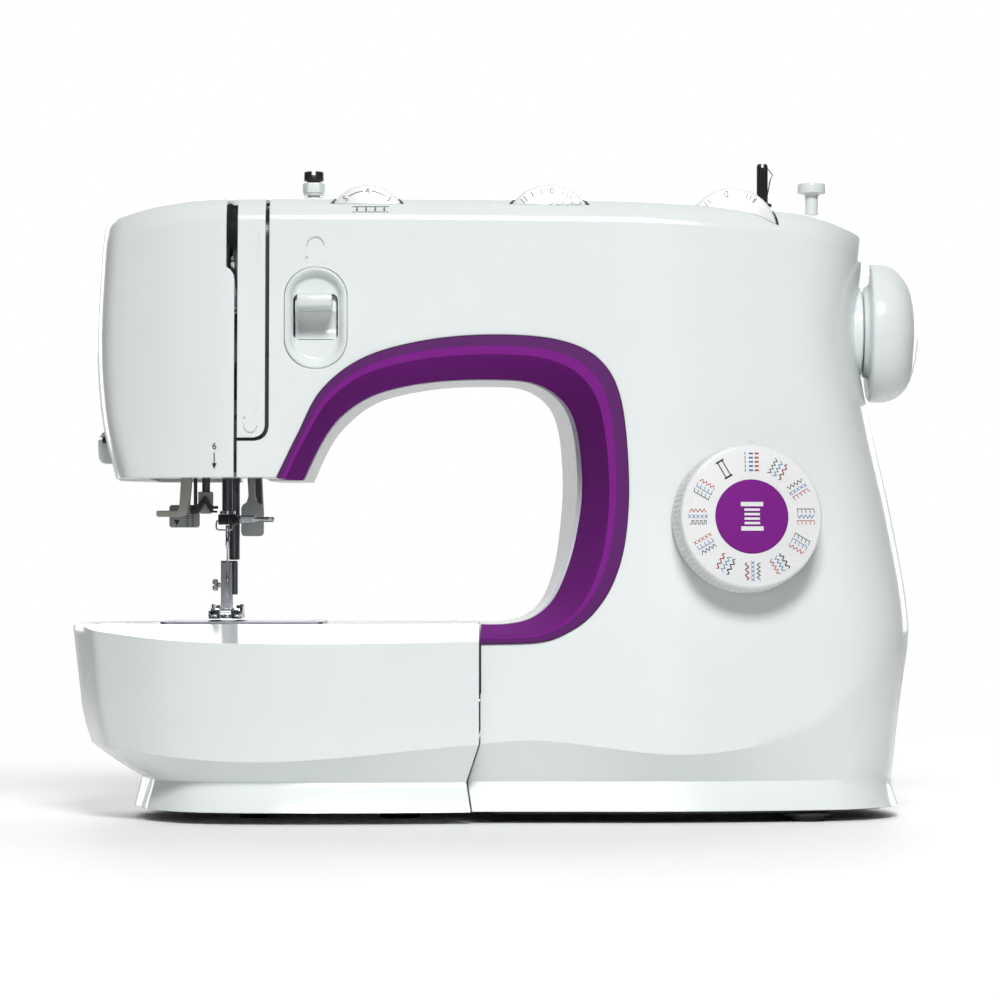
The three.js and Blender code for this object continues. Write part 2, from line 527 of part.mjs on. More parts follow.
// ---------------------------------------------------------------- frame, motor and shafts
function makeFrame() {
  const plateY = [38, 43];
  const sheet = [[-182, 43], [-4, 43], [0, 14], [145, 14], [145, 262], [60, 277], [-158, 277], [-170, 262],
    [-170, 202], [-100, 202], [-70, 214],
    [20, 214], [40, 200], [40, 100], [25, 85], [-182, 85]];
  const bearing = (x, y, z, below) => cut(box(x, [y - 10, 39], [z - below, z + 10]),
    rod("x", SHAFT_R + 0.3, -FAR, FAR, [0, y, z], 16));
  const guide = (z) => cut(box([-133, -121], [-1, 39], z), rod("z", BAR_HOLE_R, 100, 300, [NEEDLE_X,
    SPLIT_Y, 0], 16),
    rod("z", BAR_HOLE_R, 100, 300, [PRESSER.x, PRESSER.y, 0], 16));
  const webHoles = [swept("y", roundedRect([-90, 15], [228, 262], 10, 3), 0, 60),
    swept("y", roundedRect([62, 128], [112, 200], 12, 3), 0, 60),
    swept("y", roundedRect([74, 90], [30, 100], 5, 3), 0, 60)];
  const frame = cut(swept("y", sheet, ...plateY), ...webHoles);
  const upper = [[-100, -91], [40, 50], [125, 134]].map((x) => bearing(x, SPLIT_Y, SHAFT_Z, 6.5));
  const lower = [[-92, -84], [58, 66]].map((x) => bearing(x, LOWER_SHAFT.y, LOWER_SHAFT.z, 9.5));
  part("cast_frame", join(frame, ...upper, ...lower, guide([248, 256]), guide([190, 197]),
    box([-132, -122], [30, 39], [190, 256])), FINISH.cast());
}

// A belt as a flat loop round two pulleys whose centres lie in a plane across x.
function belt(a, b, thick, x) {
  const loop = (extra) => {
    const [from, to] = [new THREE.Vector2(a.y, a.z), new THREE.Vector2(b.y, b.z)];
    const across = to.clone().sub(from);
    const lead = Math.atan2(across.y, across.x);
    const open = Math.acos((a.r - b.r) / across.length());
    const arc = (c, r, start, end) => Array.from({ length: 13 }, (_, i) => {
      const angle = start + ((end - start) * i) / 12;
      return [c.x + (r + extra) * Math.cos(angle), c.y + (r + extra) * Math.sin(angle)];
    });
    return [...arc(from, a.r, lead + open, lead + TAU - open), ...arc(to, b.r, lead - open, lead + open)];
  };
  return swept("x", loop(thick), ...x, [loop(0)]);
}

function makeDrive() {
  const main = { y: SPLIT_Y, z: SHAFT_Z };
  part("motor_body", join(rod("x", 29, 92, 140, [0, MOTOR.y, MOTOR.z], 28),
    box([98, 134], [MOTOR.y - 24, MOTOR.y + 24], [26, MOTOR.z])), FINISH.darkSteel());
  part("motor_pulley", turned("x", [[0, 140.4], [2.5, 140.4], [2.5, 149.5], [6.6, 149.5], [6.6, 149.9],
    [SMALL_PULLEY_R - 0.35, 149.9], [SMALL_PULLEY_R - 0.35, 157.1], [6.6, 157.1], [6.6, 158], [0, 158]],
    [0, MOTOR.y, MOTOR.z], 16), FINISH.steel());
  part("drive_belt", belt({ ...MOTOR, r: SMALL_PULLEY_R }, { ...main, r: BIG_PULLEY_R }, 1.8,
    [DRIVE_X[0] + 0.3, DRIVE_X[1] - 0.3]), FINISH.black());
  part("timing_belt", belt({ ...LOWER_SHAFT, r: TIMING_R }, { ...main, r: TIMING_R }, 1.8,
    [TIMING_X[0] + 0.3, TIMING_X[1] - 0.3]), FINISH.black());
  const crankPin = rod("x", 2, -121.4, -117, [0, SPLIT_Y, SHAFT_Z + 15], 10);
  part("main_shaft", join(crankPin, turned("x", [[0, -118], [17, -118], [17, -112], [SHAFT_R, -112],
    [SHAFT_R, 77], [TIMING_R - 0.6, 77], [TIMING_R - 0.6, 87], [SHAFT_R, 87], [SHAFT_R, 149.4],
    [BIG_PULLEY_R - 0.6, 149.4], [BIG_PULLEY_R - 0.6, 157.6], [SHAFT_R, 157.6], [SHAFT_R, HUB_X - GAP], [0, HUB_X - GAP]],
    [0, SPLIT_Y, SHAFT_Z], 24)), FINISH.steel());
  part("handwheel", turned("x", [[0, HUB_X], [21, HUB_X], [22, 176.4], [31.5, 176.4], [33.4, 177.6], [33.5, 182], [32.4, 187.5],
    [29.6, 191.8], [25.8, 195], [20.5, 197.4], [13, 199.4], [0, 200.4]], [0, SPLIT_Y, SHAFT_Z], 32),
    FINISH.shell());
  const { y, z } = LOWER_SHAFT;
  part("lower_shaft", turned("x", [[0, -112], [8, -112], [8, -106], [4, -106], [4, 77], [TIMING_R - 0.6,
    77],
    [TIMING_R - 0.6, 87], [0, 87]], [0, y, z], 24), FINISH.steel());
}

// ---------------------------------------------------------------- bobbin and hook
function makeHook() {
  const at = [NEEDLE_X, 0, HOOK_Z];
  part("shuttle_race", turned("y", [[15.5, -20], [19, -20], [19, 1], [15.5, 1], [15.5, -20]], at, 24),
    FINISH.cast());
  const cup = turned("y", [[0, 14], [4, 14], [4, 0.4], [15.1, 0.4], [15.1, -18], [13, -18], [13, -2.6],
    [2.6, -2.6], [2.6, -20], [0, -20]], at, 24);
  const gate = box([NEEDLE_X - 20, NEEDLE_X - 4], [-20, -8], [HOOK_Z + 4, HOOK_Z + 20]);
  part("shuttle_hook", cut(cup, gate), FINISH.chrome());
  const bobbinCase = turned("y", [[0, -24.4], [11.5, -24.4], [12.6, -23.4], [12.6, -7], [11.2, -7],
    [11.2, -22.6], [0, -22.6]], at, 24);
  part("bobbin_case", join(bobbinCase, box([NEEDLE_X - 4, NEEDLE_X + 11], [-25.4, -24], [HOOK_Z - 2.5,
    HOOK_Z + 2.5])),
    FINISH.chrome());
  part("bobbin", turned("y", [[3, -21.6], [10.4, -21.6], [10.4, -20.6], [4.4, -20.6], [4.4, -11], [10.4,
    -11],
    [10.4, -10], [3, -10], [3, -21.6]], at, 20), FINISH.clear());
}

// ---------------------------------------------------------------- needle, foot and feed
const FOOT_PIVOT = { y: 14, z: 96.1 };

function makeNeedle() {
  const at = [NEEDLE_X, SPLIT_Y, 0];
  part("needle_bar", rod("z", BAR_R, 142.9, 270, at, 16), FINISH.steel());
  part("needle_clamp", turned("z", [[0, 137.7], [4.8, 137.7], [5.2, 138.4], [5.2, 142], [4.6, 142.6], [0,
    142.6]],
    at, 16), FINISH.black());
  part("needle", turned("z", [[0, NEEDLE_TIP_Z], [0.45, 112], [0.45, 126.6], [1, 127.4], [1, 137.4], [0,
    137.4]],
    at, 8), FINISH.chrome());
  part("clamp_screw", turned("x", [[0, -121.9], [1.9, -121.9], [1.9, -114.4], [1.1, -114.4], [1.1, -105.2],
    [0, -105.2]], [0, SPLIT_Y, 140.2], 12), FINISH.chrome());
}

function makePresser() {
  part("presser_bar", rod("z", BAR_R, 121, 215, [PRESSER.x, PRESSER.y, 0], 16), FINISH.darkSteel());
  part("foot_holder", join(box([-131, -121.5], [10.6, 19], [104, 120.6]), box([-130.5, -124.3], [11, 17],
    [97.2, 105])),
    FINISH.steel());
  part("foot_thumb_screw", turned("x", [[0, -135.1], [2.4, -135.1], [2.75, -134.6], [2.75, -132.6],
    [1.2, -132.4], [1.2, -131.35], [0, -131.35]], [0, PRESSER.y - 1, 109], 14), FINISH.steel());
  const sole = swept("x", [[-14, 95.6], [-10, 93.2], [20, 93.2], [20, 95], [-9, 95], [-13, 97.3]], -135.6,
    -120.1);
  const toeGap = box([-130.2, -124.8], [-20, 8.5], [90, 100]);
  const lug = (x) => box(x, [11, 17], [94, 100]);
  const pin = rod("x", 0.8, -133, -122, [0, FOOT_PIVOT.y, FOOT_PIVOT.z], 10);
  part("presser_foot", join(cut(sole, toeGap), lug([-133.5, -131.4]), lug([-123.7, -121.6]), pin),
    FINISH.chrome());
  const hub = rod("x", 4.5, -120, -113, [0, 30, 170], 14);
  const arm = swept("x", [[27.5, 167], [33, 172], [62, 146], [64, 141], [59, 139.5], [54, 143]], -120,
    -113);
  part("presser_lifter", join(hub, arm), FINISH.black());
}

function makeTakeUp() {
  const arm = join(rod("x", 4, -122.6, -121, [0, -18, 240], 12),
    swept("x", [[-19, 237], [-16.5, 243], [-47, 262], [-52, 258], [-49.5, 254.5]], -122.6, -121));
  part("take_up_lever", cut(arm, rod("x", 1.5, -130, -110, [0, -48.3, 258.2], 8)), FINISH.chrome());
}

function makeThreader() {
  const stem = box([-148.8, -143.7], [-8, -4], [142, 200]);
  part("threader_lever", join(stem, box([-160.4, -143.7], [-9, -3], [141.3, 144.3])), FINISH.beige());
  const head = join(rod("z", 1.9, 148, 205, [-137.1, -4, 0], 12), box([-140.6, -133.8], [-11.2, -1],
    [142.4, 153.2]),
    swept("y", roundedRect([-154.6, -139], [136.3, 147], 1.2, 2), -11.2, -9.7), box([-135.2, -133.8], [-17,
      -10], [143, 146]));
  part("threader_head", head, FINISH.clear());
  const paddle = swept("y", roundedRect([-122, -111.1], [132.3, 147.5], 3, 3), 22, 23.6);
  part("buttonhole_lever", join(paddle, box([-118.6, -115], [22, 23.6], [146, 185])), FINISH.clear());
}

function makeFeed() {
  const needleGap = box([-131, -124], [0, 10], [70, 100]);
  part("feed_bar", cut(box([-137, -118], [-18, 34], [80.3, 82.4]), needleGap), FINISH.steel());
  const teeth = 10;
  const pitch = 3.1;
  const rack = [[-10.5, 86]];
  for (let i = 0; i < teeth; i += 1) {
    rack.push([-10.5 + i * pitch, 91], [-10.5 + (i + 0.85) * pitch, 92.3]);
  }
  rack.push([-10.5 + teeth * pitch, 91], [-10.5 + teeth * pitch, 86]);
  const bars = FEED_SLOTS.map(([a, b]) => swept("x", rack, a + 0.5, b - 0.5));
  part("feed_dog", join(cut(box([-137, -118], [-12, 22], [85.3, 88]), needleGap), ...bars), FINISH.steel());
  const knob = swept("x", roundedRect([48.8, 56], [50, 60], 1.5, 2), -50, -44);
  part("drop_feed_lever", join(knob, box([-49, -45], [43.6, 50], [53.2, 56.8])), FINISH.black());
}

// ---------------------------------------------------------------- controls and fittings
function makeControls() {
  for (const [name, { at, radius }] of Object.entries(TOP_DIALS)) {
    const wheel = turned("y", [[0, -DIAL_HALF], [radius - 4, -DIAL_HALF], [radius, -1], [radius, DIAL_HALF],
      [4, DIAL_HALF], [4, 11], [0, 11]], [0, 0, 0], 32);
    part(name, wheel, FINISH.dialWhite(), at, [DIAL_TILT, 0, 0]);
  }
  const { radius, height } = PATTERN;
  part("pattern_dial", turned("y", [[0, -height - 0.8], [16.6, -height - 0.8], [17, -height], [radius - 3,
    -height],
    [radius - 0.8, -height + 3], [radius, -2], [radius, 0], [4.5, 0], [4.5, 9], [0, 9]], [0, 0, 0], 40),
    FINISH.dialWhite(), PATTERN.at, PATTERN.turn);
  const { x, z, window: gate } = BEZEL;
  part("lever_bezel", cut(swept("y", roundedRect(x, z, 14, 4), -55, -50.5),
    swept("y", roundedRect([x[0] + 1.6, x[1] - 1.6], [z[0] + 1.6, z[1] - 1.6], 12.4, 4), -60, -52.6),
    swept("y", roundedRect(gate.x, gate.z, 3, 2), -60, -40)), FINISH.shell());
  const paddle = swept("x", [[-31, 233], [-29, 240], [-50, 243.4], [-65, 243.9], [-66.5, 242], [-66, 238],
    [-58, 236.6], [-50, 235]], -92.1, -74.9);
  part("reverse_lever", join(paddle, rod("x", 4, -96, -71, [0, -28, 236], 14)), FINISH.shell());
}

function makeTopFittings() {
  part("thread_guide_post", turned("z", [[0, 284], [3, 284], [3, 292.8], [5.4, 292.8], [5.4, 298.8], [0,
    298.8]],
    [-85.8, -10, 0], 12), FINISH.shell());
  part("guide_cap", cut(rod("z", 4.7, 299.2, 304.2, [-85.8, -10, 0], 12), box([-86.6, -85], [-20, 0],
    [302.4, 310])),
    FINISH.black());
  part("winder_stop", turned("z", [[0, 284.9], [3.2, 284.9], [3.2, 294.9], [6.4, 294.9], [6.9, 295.4],
    [6.9, 299.6],
    [6.5, 299.9], [0, 299.9]], [150, SPLIT_Y, 0], 16), FINISH.shell());
  part("winder_carriage", box([120.6, 132.6], [-1, 11], [262, 271]), FINISH.steel());
  part("winder_spindle", turned("z", [[0, 271.4], [2.4, 271.4], [2.4, 288.6], [4.6, 288.6], [4.6, 290.2],
    [2.75, 290.6], [2.75, 308.4], [2.3, 309], [0, 309]], [126.6, SPLIT_Y, 0], 12), FINISH.black());
  for (const [name, x] of Object.entries(SPOOL_PINS)) {
    const rest = topZ(x) - 0.1;
    part(name, turned("z", [[0, 236], [2.5, 236], [2.5, rest], [6, rest], [6, rest + 1.6], [5.4,
      rest + 2.2],
      [0, rest + 2.2]], [x, SPOOL_Y, 0], 16), FINISH.shell());
  }
  const grip = [[-60, 15.6], [-48, 15.6], [-48, 42], [-44, 46], [36, 46], [40, 42], [40, 15.6], [52, 15.6],
    [52, 50], [46, 56], [-54, 56], [-60, 50]];
  part("carrying_handle", swept("z", grip, 283.5, 290.5), FINISH.shell());
}

function makeSideFittings() {
  const cutter = swept("y", [[-184.9, 182.4], [-187.5, 182], [-189.8, 178.5], [-189.6, 170], [-187, 166.9],
    [-183, 166.9]], 14, 26);
  part("thread_cutter", cut(cutter, box([-195, -186.6], [10, 30], [178.4, 179.7])), FINISH.beige());
  const recess = box([178, 200], [INLET.y[0] + 3, INLET.y[1] - 3], [INLET.z[0] + 3, INLET.z[1] - 3]);
  const blade = (y) => rod("x", 1.3, 176, 187, [0, y, 52], 8);
  part("inlet_socket", join(cut(box(INLET.x, INLET.y, INLET.z), recess), blade(30), blade(38)),
    FINISH.black());
  const rocker = [[184, 73], [192, 72.6], [191, 81], [192, 89.4], [184, 89]];
  part("power_switch", swept("y", rocker, ...SWITCH.y), FINISH.black());
}

makeFrontCovers();
makeRearCover();
makeTrim();
makeBase();
makeFreeArm();
makeTable();
makeFrame();
makeDrive();
makeHook();
makeNeedle();
makePresser();
makeTakeUp();
makeThreader();
makeFeed();
makeControls();
makeTopFittings();
makeSideFittings();

export default group;
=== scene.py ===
import json
import math

import bmesh
import bpy
import numpy as np
from mathutils import Euler, Matrix, Vector


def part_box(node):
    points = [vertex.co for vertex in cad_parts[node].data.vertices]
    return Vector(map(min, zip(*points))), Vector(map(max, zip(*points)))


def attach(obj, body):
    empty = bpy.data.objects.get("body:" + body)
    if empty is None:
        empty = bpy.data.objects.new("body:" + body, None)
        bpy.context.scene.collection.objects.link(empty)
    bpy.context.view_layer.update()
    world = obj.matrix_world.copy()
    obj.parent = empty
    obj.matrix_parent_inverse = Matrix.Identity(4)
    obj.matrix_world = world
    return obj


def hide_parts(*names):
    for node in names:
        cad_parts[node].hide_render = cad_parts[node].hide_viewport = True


# Looks for the sewing machine. Shapes are worked out in millimetres and stored in metres.
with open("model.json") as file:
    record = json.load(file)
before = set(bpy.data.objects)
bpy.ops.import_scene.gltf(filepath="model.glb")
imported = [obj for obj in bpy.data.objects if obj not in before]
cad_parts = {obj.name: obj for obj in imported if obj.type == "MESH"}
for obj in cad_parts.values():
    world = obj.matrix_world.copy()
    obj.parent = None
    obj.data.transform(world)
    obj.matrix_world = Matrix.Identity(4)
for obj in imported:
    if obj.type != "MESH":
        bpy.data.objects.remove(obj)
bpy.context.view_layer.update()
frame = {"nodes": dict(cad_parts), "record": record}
MM = 0.001
TAU = math.pi * 2
FAR = 400.0

# ------------------------------------------------------------------ driving dimensions
SPLIT_Y = 5.0
WALL = 2.6
REVEAL = 0.35            # visible joint between two covers
BED_Z = 91.0
HEAD_BOTTOM_Z = 158.7
BOTTOM_Z = 5.5
WAIST_Z = 19.0
FRONT_DEPTH = 58.0
REAR_DEPTH = 57.0
SHOULDER_Z = 280.0
FRONT_LEAN = 0.085
REAR_LEAN = 0.105
WAIST_STEP = 11.0
FLARE = 7.0
SHAFT_Z = 229.2
NEEDLE_X = -127.5
SEAM_X = -7.0
PRESSER_X, PRESSER_Y = -124.8, 15.0
CLAMP_SCREW_Z = 140.2
FOOT_SCREW_Z = 109.0
FOOT_PIN_Y, FOOT_PIN_Z = 14.0, 96.6
LIFTER_Y, LIFTER_Z = 30.0, 170.0
TAKE_UP_Y, TAKE_UP_Z = -18.0, 240.0
THREADER_X = -137.1
PLATE_FRONT_Y = -3.2     # front of the threader's marked plate
GUIDE_POST = (-85.8, -10.0, 0.0)
WINDER_X = 126.6
WINDER_STOP_X = 150.0
ROCKER_FACE_X = 191.75
BADGE_R = 17.0           # purple disc on the pattern dial
SIGN_R = 25.1            # ring of stitch signs on the pattern dial
JOIN = 0.35              # slit round a plate or a door
DOOR_DROP = 1.0          # room under the bobbin cover, where its lower edge swings


def mm(node):
    """The lowest and highest corner of a CAD node in millimetres."""
    low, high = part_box(node)
    return np.array(low) / MM, np.array(high) / MM


# ------------------------------------------------------------------ curves and outlines
def through(knots):
    """A smooth function of t through (t, value) knots."""
    t = np.array([k[0] for k in knots], float)
    v = np.array([k[1] for k in knots], float)
    ahead = np.minimum(np.arange(len(t)) + 1, len(t) - 1)
    behind = np.maximum(np.arange(len(t)) - 1, 0)
    slope = (v[ahead] - v[behind]) / (t[ahead] - t[behind])

    def value(x):
        x = np.clip(np.asarray(x, float), t[0], t[-1])
        i = np.clip(np.searchsorted(t, x, side="right") - 1, 0, len(t) - 2)
        span = t[i + 1] - t[i]
        s = (x - t[i]) / span
        return ((2 * s**3 - 3 * s**2 + 1) * v[i] + (s**3 - 2 * s**2 + s) * span * slope[i]
                + (3 * s**2 - 2 * s**3) * v[i + 1] + (s**3 - s**2) * span * slope[i + 1])

    return value


def flowing(knots, count):
    """count + 1 points on a smooth line through a few knots."""
    k = np.array(knots, float)
    t = np.linspace(0, len(k) - 1, count + 1)
    i = np.minimum(t.astype(int), len(k) - 2)
    w = (t - i)[:, None]
    p0, p1 = k[np.maximum(i - 1, 0)], k[i]
    p2, p3 = k[i + 1], k[np.minimum(i + 2, len(k) - 1)]
    v0, v1 = (p2 - p0) * 0.5, (p3 - p1) * 0.5
    line = ((2 * p1 - 2 * p2 + v0 + v1) * w**3 + (-3 * p1 + 3 * p2 - 2 * v0 - v1) * w**2 + v0 * w + p1)
    return [tuple(p) for p in line]


def rounded(u, v, radius, steps=8):
    """A rectangle with round corners as (u, v) points."""
    corners = ((u[1] - radius, v[0] + radius, -90), (u[1] - radius, v[1] - radius, 0),
               (u[0] + radius, v[1] - radius, 90), (u[0] + radius, v[0] + radius, 180))
    points = []
    for cu, cv, start in corners:
        for i in range(steps + 1):
            a = math.radians(start + 90 * i / steps)
            points.append((cu + radius * math.cos(a), cv + radius * math.sin(a)))
    return points


def circle(u, v, radius, count):
    """Points round a centre."""
    return [(u + radius * math.cos(TAU * i / count), v + radius * math.sin(TAU * i / count))
            for i in range(count)]


def grown(outline, d):
    """A closed outline moved outwards by d."""
    p = np.array(outline, float)
    before, after = np.roll(p, 1, 0), np.roll(p, -1, 0)
    area = np.sum(p[:, 0] * after[:, 1] - after[:, 0] * p[:, 1])
    side = 1 if area > 0 else -1

    def normal(a, b):
        n = np.stack([b[:, 1] - a[:, 1], a[:, 0] - b[:, 0]], 1)
        return n / np.maximum(np.linalg.norm(n, axis=1, keepdims=True), 1e-9)

    n1, n2 = normal(before, p), normal(p, after)
    n = n1 + n2
    n /= np.maximum(np.linalg.norm(n, axis=1, keepdims=True), 1e-9)
    reach = side * d / np.maximum(np.sum(n * n1, 1), 0.5)
    return [tuple(q) for q in p + n * reach[:, None]]


# ------------------------------------------------------------------ mesh making
def mesh_object(name, verts, faces):
    mesh = bpy.data.meshes.new(name)
    mesh.from_pydata([tuple(v) for v in verts], [], [tuple(f) for f in faces])
    mesh.validate()
    work = bmesh.new()
    work.from_mesh(mesh)
    bmesh.ops.remove_doubles(work, verts=work.verts, dist=1e-4)
    bmesh.ops.dissolve_degenerate(work, edges=work.edges, dist=1e-5)
    bmesh.ops.recalc_face_normals(work, faces=work.faces)
    work.to_mesh(mesh)
    work.free()
    obj = bpy.data.objects.new(name, mesh)
    bpy.context.scene.collection.objects.link(obj)
    return obj


def swept(axis, outline, start, end):
    """An outline moved along an axis: (y, z), (x, z) or (x, y) points for x, y and z."""
    def at(u, v, w):
        return {"x": (w, u, v), "y": (u, w, v), "z": (u, v, w)}[axis]
    n = len(outline)
    verts = [at(u, v, start) for u, v in outline] + [at(u, v, end) for u, v in outline]
    faces = [(i, (i + 1) % n, n + (i + 1) % n, n + i) for i in range(n)]
    faces += [tuple(reversed(range(n))), tuple(range(n, 2 * n))]
    return mesh_object("swept", verts, faces)


def lathe(axis, profile, centre=(0, 0, 0), sides=72, ripple=None):
    """A (radius, along) profile turned about an axis; ripple(angle, radius, along) adds to the radius."""
    rings = []
    for r, along in profile:
        ring = []
        for k in range(sides):
            a = TAU * k / sides
            rr = r + (ripple(a, r, along) if ripple and r > 0.01 else 0)
            c, s = rr * math.cos(a), rr * math.sin(a)
            p = {"x": (along, c, s), "y": (c, along, s), "z": (c, s, along)}[axis]
            ring.append(tuple(np.add(p, centre)))
        rings.append(ring)
    verts = [p for ring in rings for p in ring]
    faces = []
    for i in range(len(rings) - 1):
        for k in range(sides):
            j = (k + 1) % sides
            faces.append((i * sides + k, i * sides + j, (i + 1) * sides + j, (i + 1) * sides + k))
    return mesh_object("turned", verts, faces)


def cylinder(axis, radius, start, end, centre=(0, 0, 0), sides=72):
    return lathe(axis, [(0, start), (radius, start), (radius, end), (0, end)], centre, sides)


def box(x, y, z):
    return swept("z", [(x[0], y[0]), (x[1], y[0]), (x[1], y[1]), (x[0], y[1])], z[0], z[1])


def tube(points, radius, sides=12):
    """A round wire along points."""
    p = [Vector(q) for q in points]
    n = len(p)
    verts, faces = [], []
    up = Vector((0, 0, 1))
    for i in range(n):
        a, b = p[max(i - 1, 0)], p[min(i + 1, n - 1)]
        t = (b - a).normalized()
        side = t.cross(up)
        if side.length < 0.05:
            side = t.cross(Vector((0, 1, 0)))
        side.normalize()
        lift = side.cross(t).normalized()
        for k in range(sides):
            w = TAU * k / sides
            verts.append(p[i] + side * radius * math.cos(w) + lift * radius * math.sin(w))
    for i in range(n - 1):
        for k in range(sides):
            m = (k + 1) % sides
            faces.append((i * sides + k, i * sides + m, (i + 1) * sides + m, (i + 1) * sides + k))
    faces += [tuple(reversed(range(sides))), tuple(range((n - 1) * sides, n * sides))]
    return mesh_object("tube", verts, faces)


def boolean(target, cutters, mode="DIFFERENCE"):
    """Cuts, joins or intersects target with each cutter, and removes the cutters."""
    for cutter in cutters:
        step = target.modifiers.new("cut", "BOOLEAN")
        step.operation = mode
        step.object = cutter
        step.solver = "MANIFOLD"
        bake(target)
        bpy.data.objects.remove(cutter)
    return target


def bake(obj):
    """Applies the modifiers of obj."""
    graph = bpy.context.evaluated_depsgraph_get()
    graph.update()
    mesh = bpy.data.meshes.new_from_object(obj.evaluated_get(graph), depsgraph=graph)
    obj.modifiers.clear()
    obj.data = mesh
    return obj


def copy_of(obj):
    twin = obj.copy()
    twin.data = obj.data.copy()
    bpy.context.scene.collection.objects.link(twin)
    return twin


def turn_to(obj, centre, angles=(0, 0, 0)):
    """Turns obj about its own origin and moves it to centre; angles in degrees."""
    turn = Euler([math.radians(a) for a in angles]).to_matrix().to_4x4()
    obj.data.transform(Matrix.Translation(centre) @ turn)
    return obj


def soften(obj, width, segments=2, angle=32):
    """Rounds the hard edges of obj."""
    work = bmesh.new()
    work.from_mesh(obj.data)
    bmesh.ops.remove_doubles(work, verts=work.verts, dist=0.002)
    bmesh.ops.dissolve_limit(work, angle_limit=math.radians(0.6), verts=work.verts, edges=work.edges)
    work.to_mesh(obj.data)
    work.free()
    step = obj.modifiers.new("edges", "BEVEL")
    step.width = width
    step.segments = segments
    step.limit_method = "ANGLE"
    step.angle_limit = math.radians(angle)
    step.use_clamp_overlap = True
    step.miter_outer = "MITER_ARC"
    return bake(obj)


def piece(obj, name, body, finish, node=None, smooth=34):
    """Finishes a mesh made in millimetres as a named piece that rides on a body."""
    obj.name = name
    obj.data.name = name
    obj.data.transform(Matrix.Scale(MM, 4))
    obj.data.polygons.foreach_set("use_smooth", [True] * len(obj.data.polygons))
    obj.data.set_sharp_from_angle(angle=math.radians(smooth))
    obj.data.materials.clear()
    obj.data.materials.append(FINISHES[finish])
    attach(obj, body)
    if node:
        for one in ([node] if isinstance(node, str) else node):
            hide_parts(one)
    return obj


# ------------------------------------------------------------------ finishes
def node_group(name, sockets_in, sockets_out):
    """An empty shader node group with named sockets and its two ends."""
    group = bpy.data.node_groups.new(name, "ShaderNodeTree")
    for label, kind, value in sockets_in:
        socket = group.interface.new_socket(label, in_out="INPUT", socket_type=kind)
        if kind != "NodeSocketVector":
            socket.default_value = value
    for label, kind in sockets_out:
        group.interface.new_socket(label, in_out="OUTPUT", socket_type=kind)
    return group, group.nodes.new("NodeGroupInput"), group.nodes.new("NodeGroupOutput")


def add(tree, kind, **values):
    node = tree.nodes.new(kind)
    for key, value in values.items():
        setattr(node, key, value)
    return node


def noise_of(tree, place, scale, detail=3.0, rough=0.55):
    node = add(tree, "ShaderNodeTexNoise")
    node.inputs["Detail"].default_value = detail
    node.inputs["Roughness"].default_value = rough
    if isinstance(scale, (int, float)):
        node.inputs["Scale"].default_value = scale
    else:
        tree.links.new(scale, node.inputs["Scale"])
    tree.links.new(place, node.inputs["Vector"])
    return node


def ranged(tree, value, low, high, from_low=0.3, from_high=0.7):
    node = add(tree, "ShaderNodeMapRange")
    node.inputs["From Min"].default_value = from_low
    node.inputs["From Max"].default_value = from_high
    for label, end in (("To Min", low), ("To Max", high)):
        if isinstance(end, (int, float)):
            node.inputs[label].default_value = end
        else:
            tree.links.new(end, node.inputs[label])
    tree.links.new(value, node.inputs["Value"])
    return node.outputs["Result"]


def mixed(tree, factor, a, b):
    node = add(tree, "ShaderNodeMix", data_type="RGBA")
    for label, value in ((0, factor), (6, a), (7, b)):
        socket = node.inputs[label]
        if isinstance(value, (int, float, tuple)):
            socket.default_value = value
        else:
            tree.links.new(value, socket)
    return node.outputs[2]


def make_moulded():
    """Moulded plastic: slow colour drift, faint handling marks in the gloss, a very fine grain."""
    group, start, end = node_group("moulded_surface", [
        ("Colour", "NodeSocketColor", (0.8, 0.8, 0.8, 1)), ("Shade", "NodeSocketColor", (0.7, 0.7, 0.7, 1)),
        ("Scale", "NodeSocketFloat", 14.0), ("Gloss Low", "NodeSocketFloat", 0.2),
        ("Gloss High", "NodeSocketFloat", 0.3), ("Grain", "NodeSocketFloat", 900.0),
    ], [("Colour", "NodeSocketColor"), ("Roughness", "NodeSocketFloat"), ("Height", "NodeSocketFloat")])
    place = add(group, "ShaderNodeTexCoord").outputs["Object"]
    drift = noise_of(group, place, start.outputs["Scale"])
    marks = noise_of(group, place, 60.0, 5.0, 0.7)
    grain = noise_of(group, place, start.outputs["Grain"], 2.0)
    shade = ranged(group, drift.outputs["Fac"], 0.0, 1.0)
    group.links.new(mixed(group, shade, start.outputs["Colour"], start.outputs["Shade"]),
                    end.inputs["Colour"])
    group.links.new(ranged(group, marks.outputs["Fac"], start.outputs["Gloss Low"],
                           start.outputs["Gloss High"]), end.inputs["Roughness"])
    group.links.new(grain.outputs["Fac"], end.inputs["Height"])
    return group


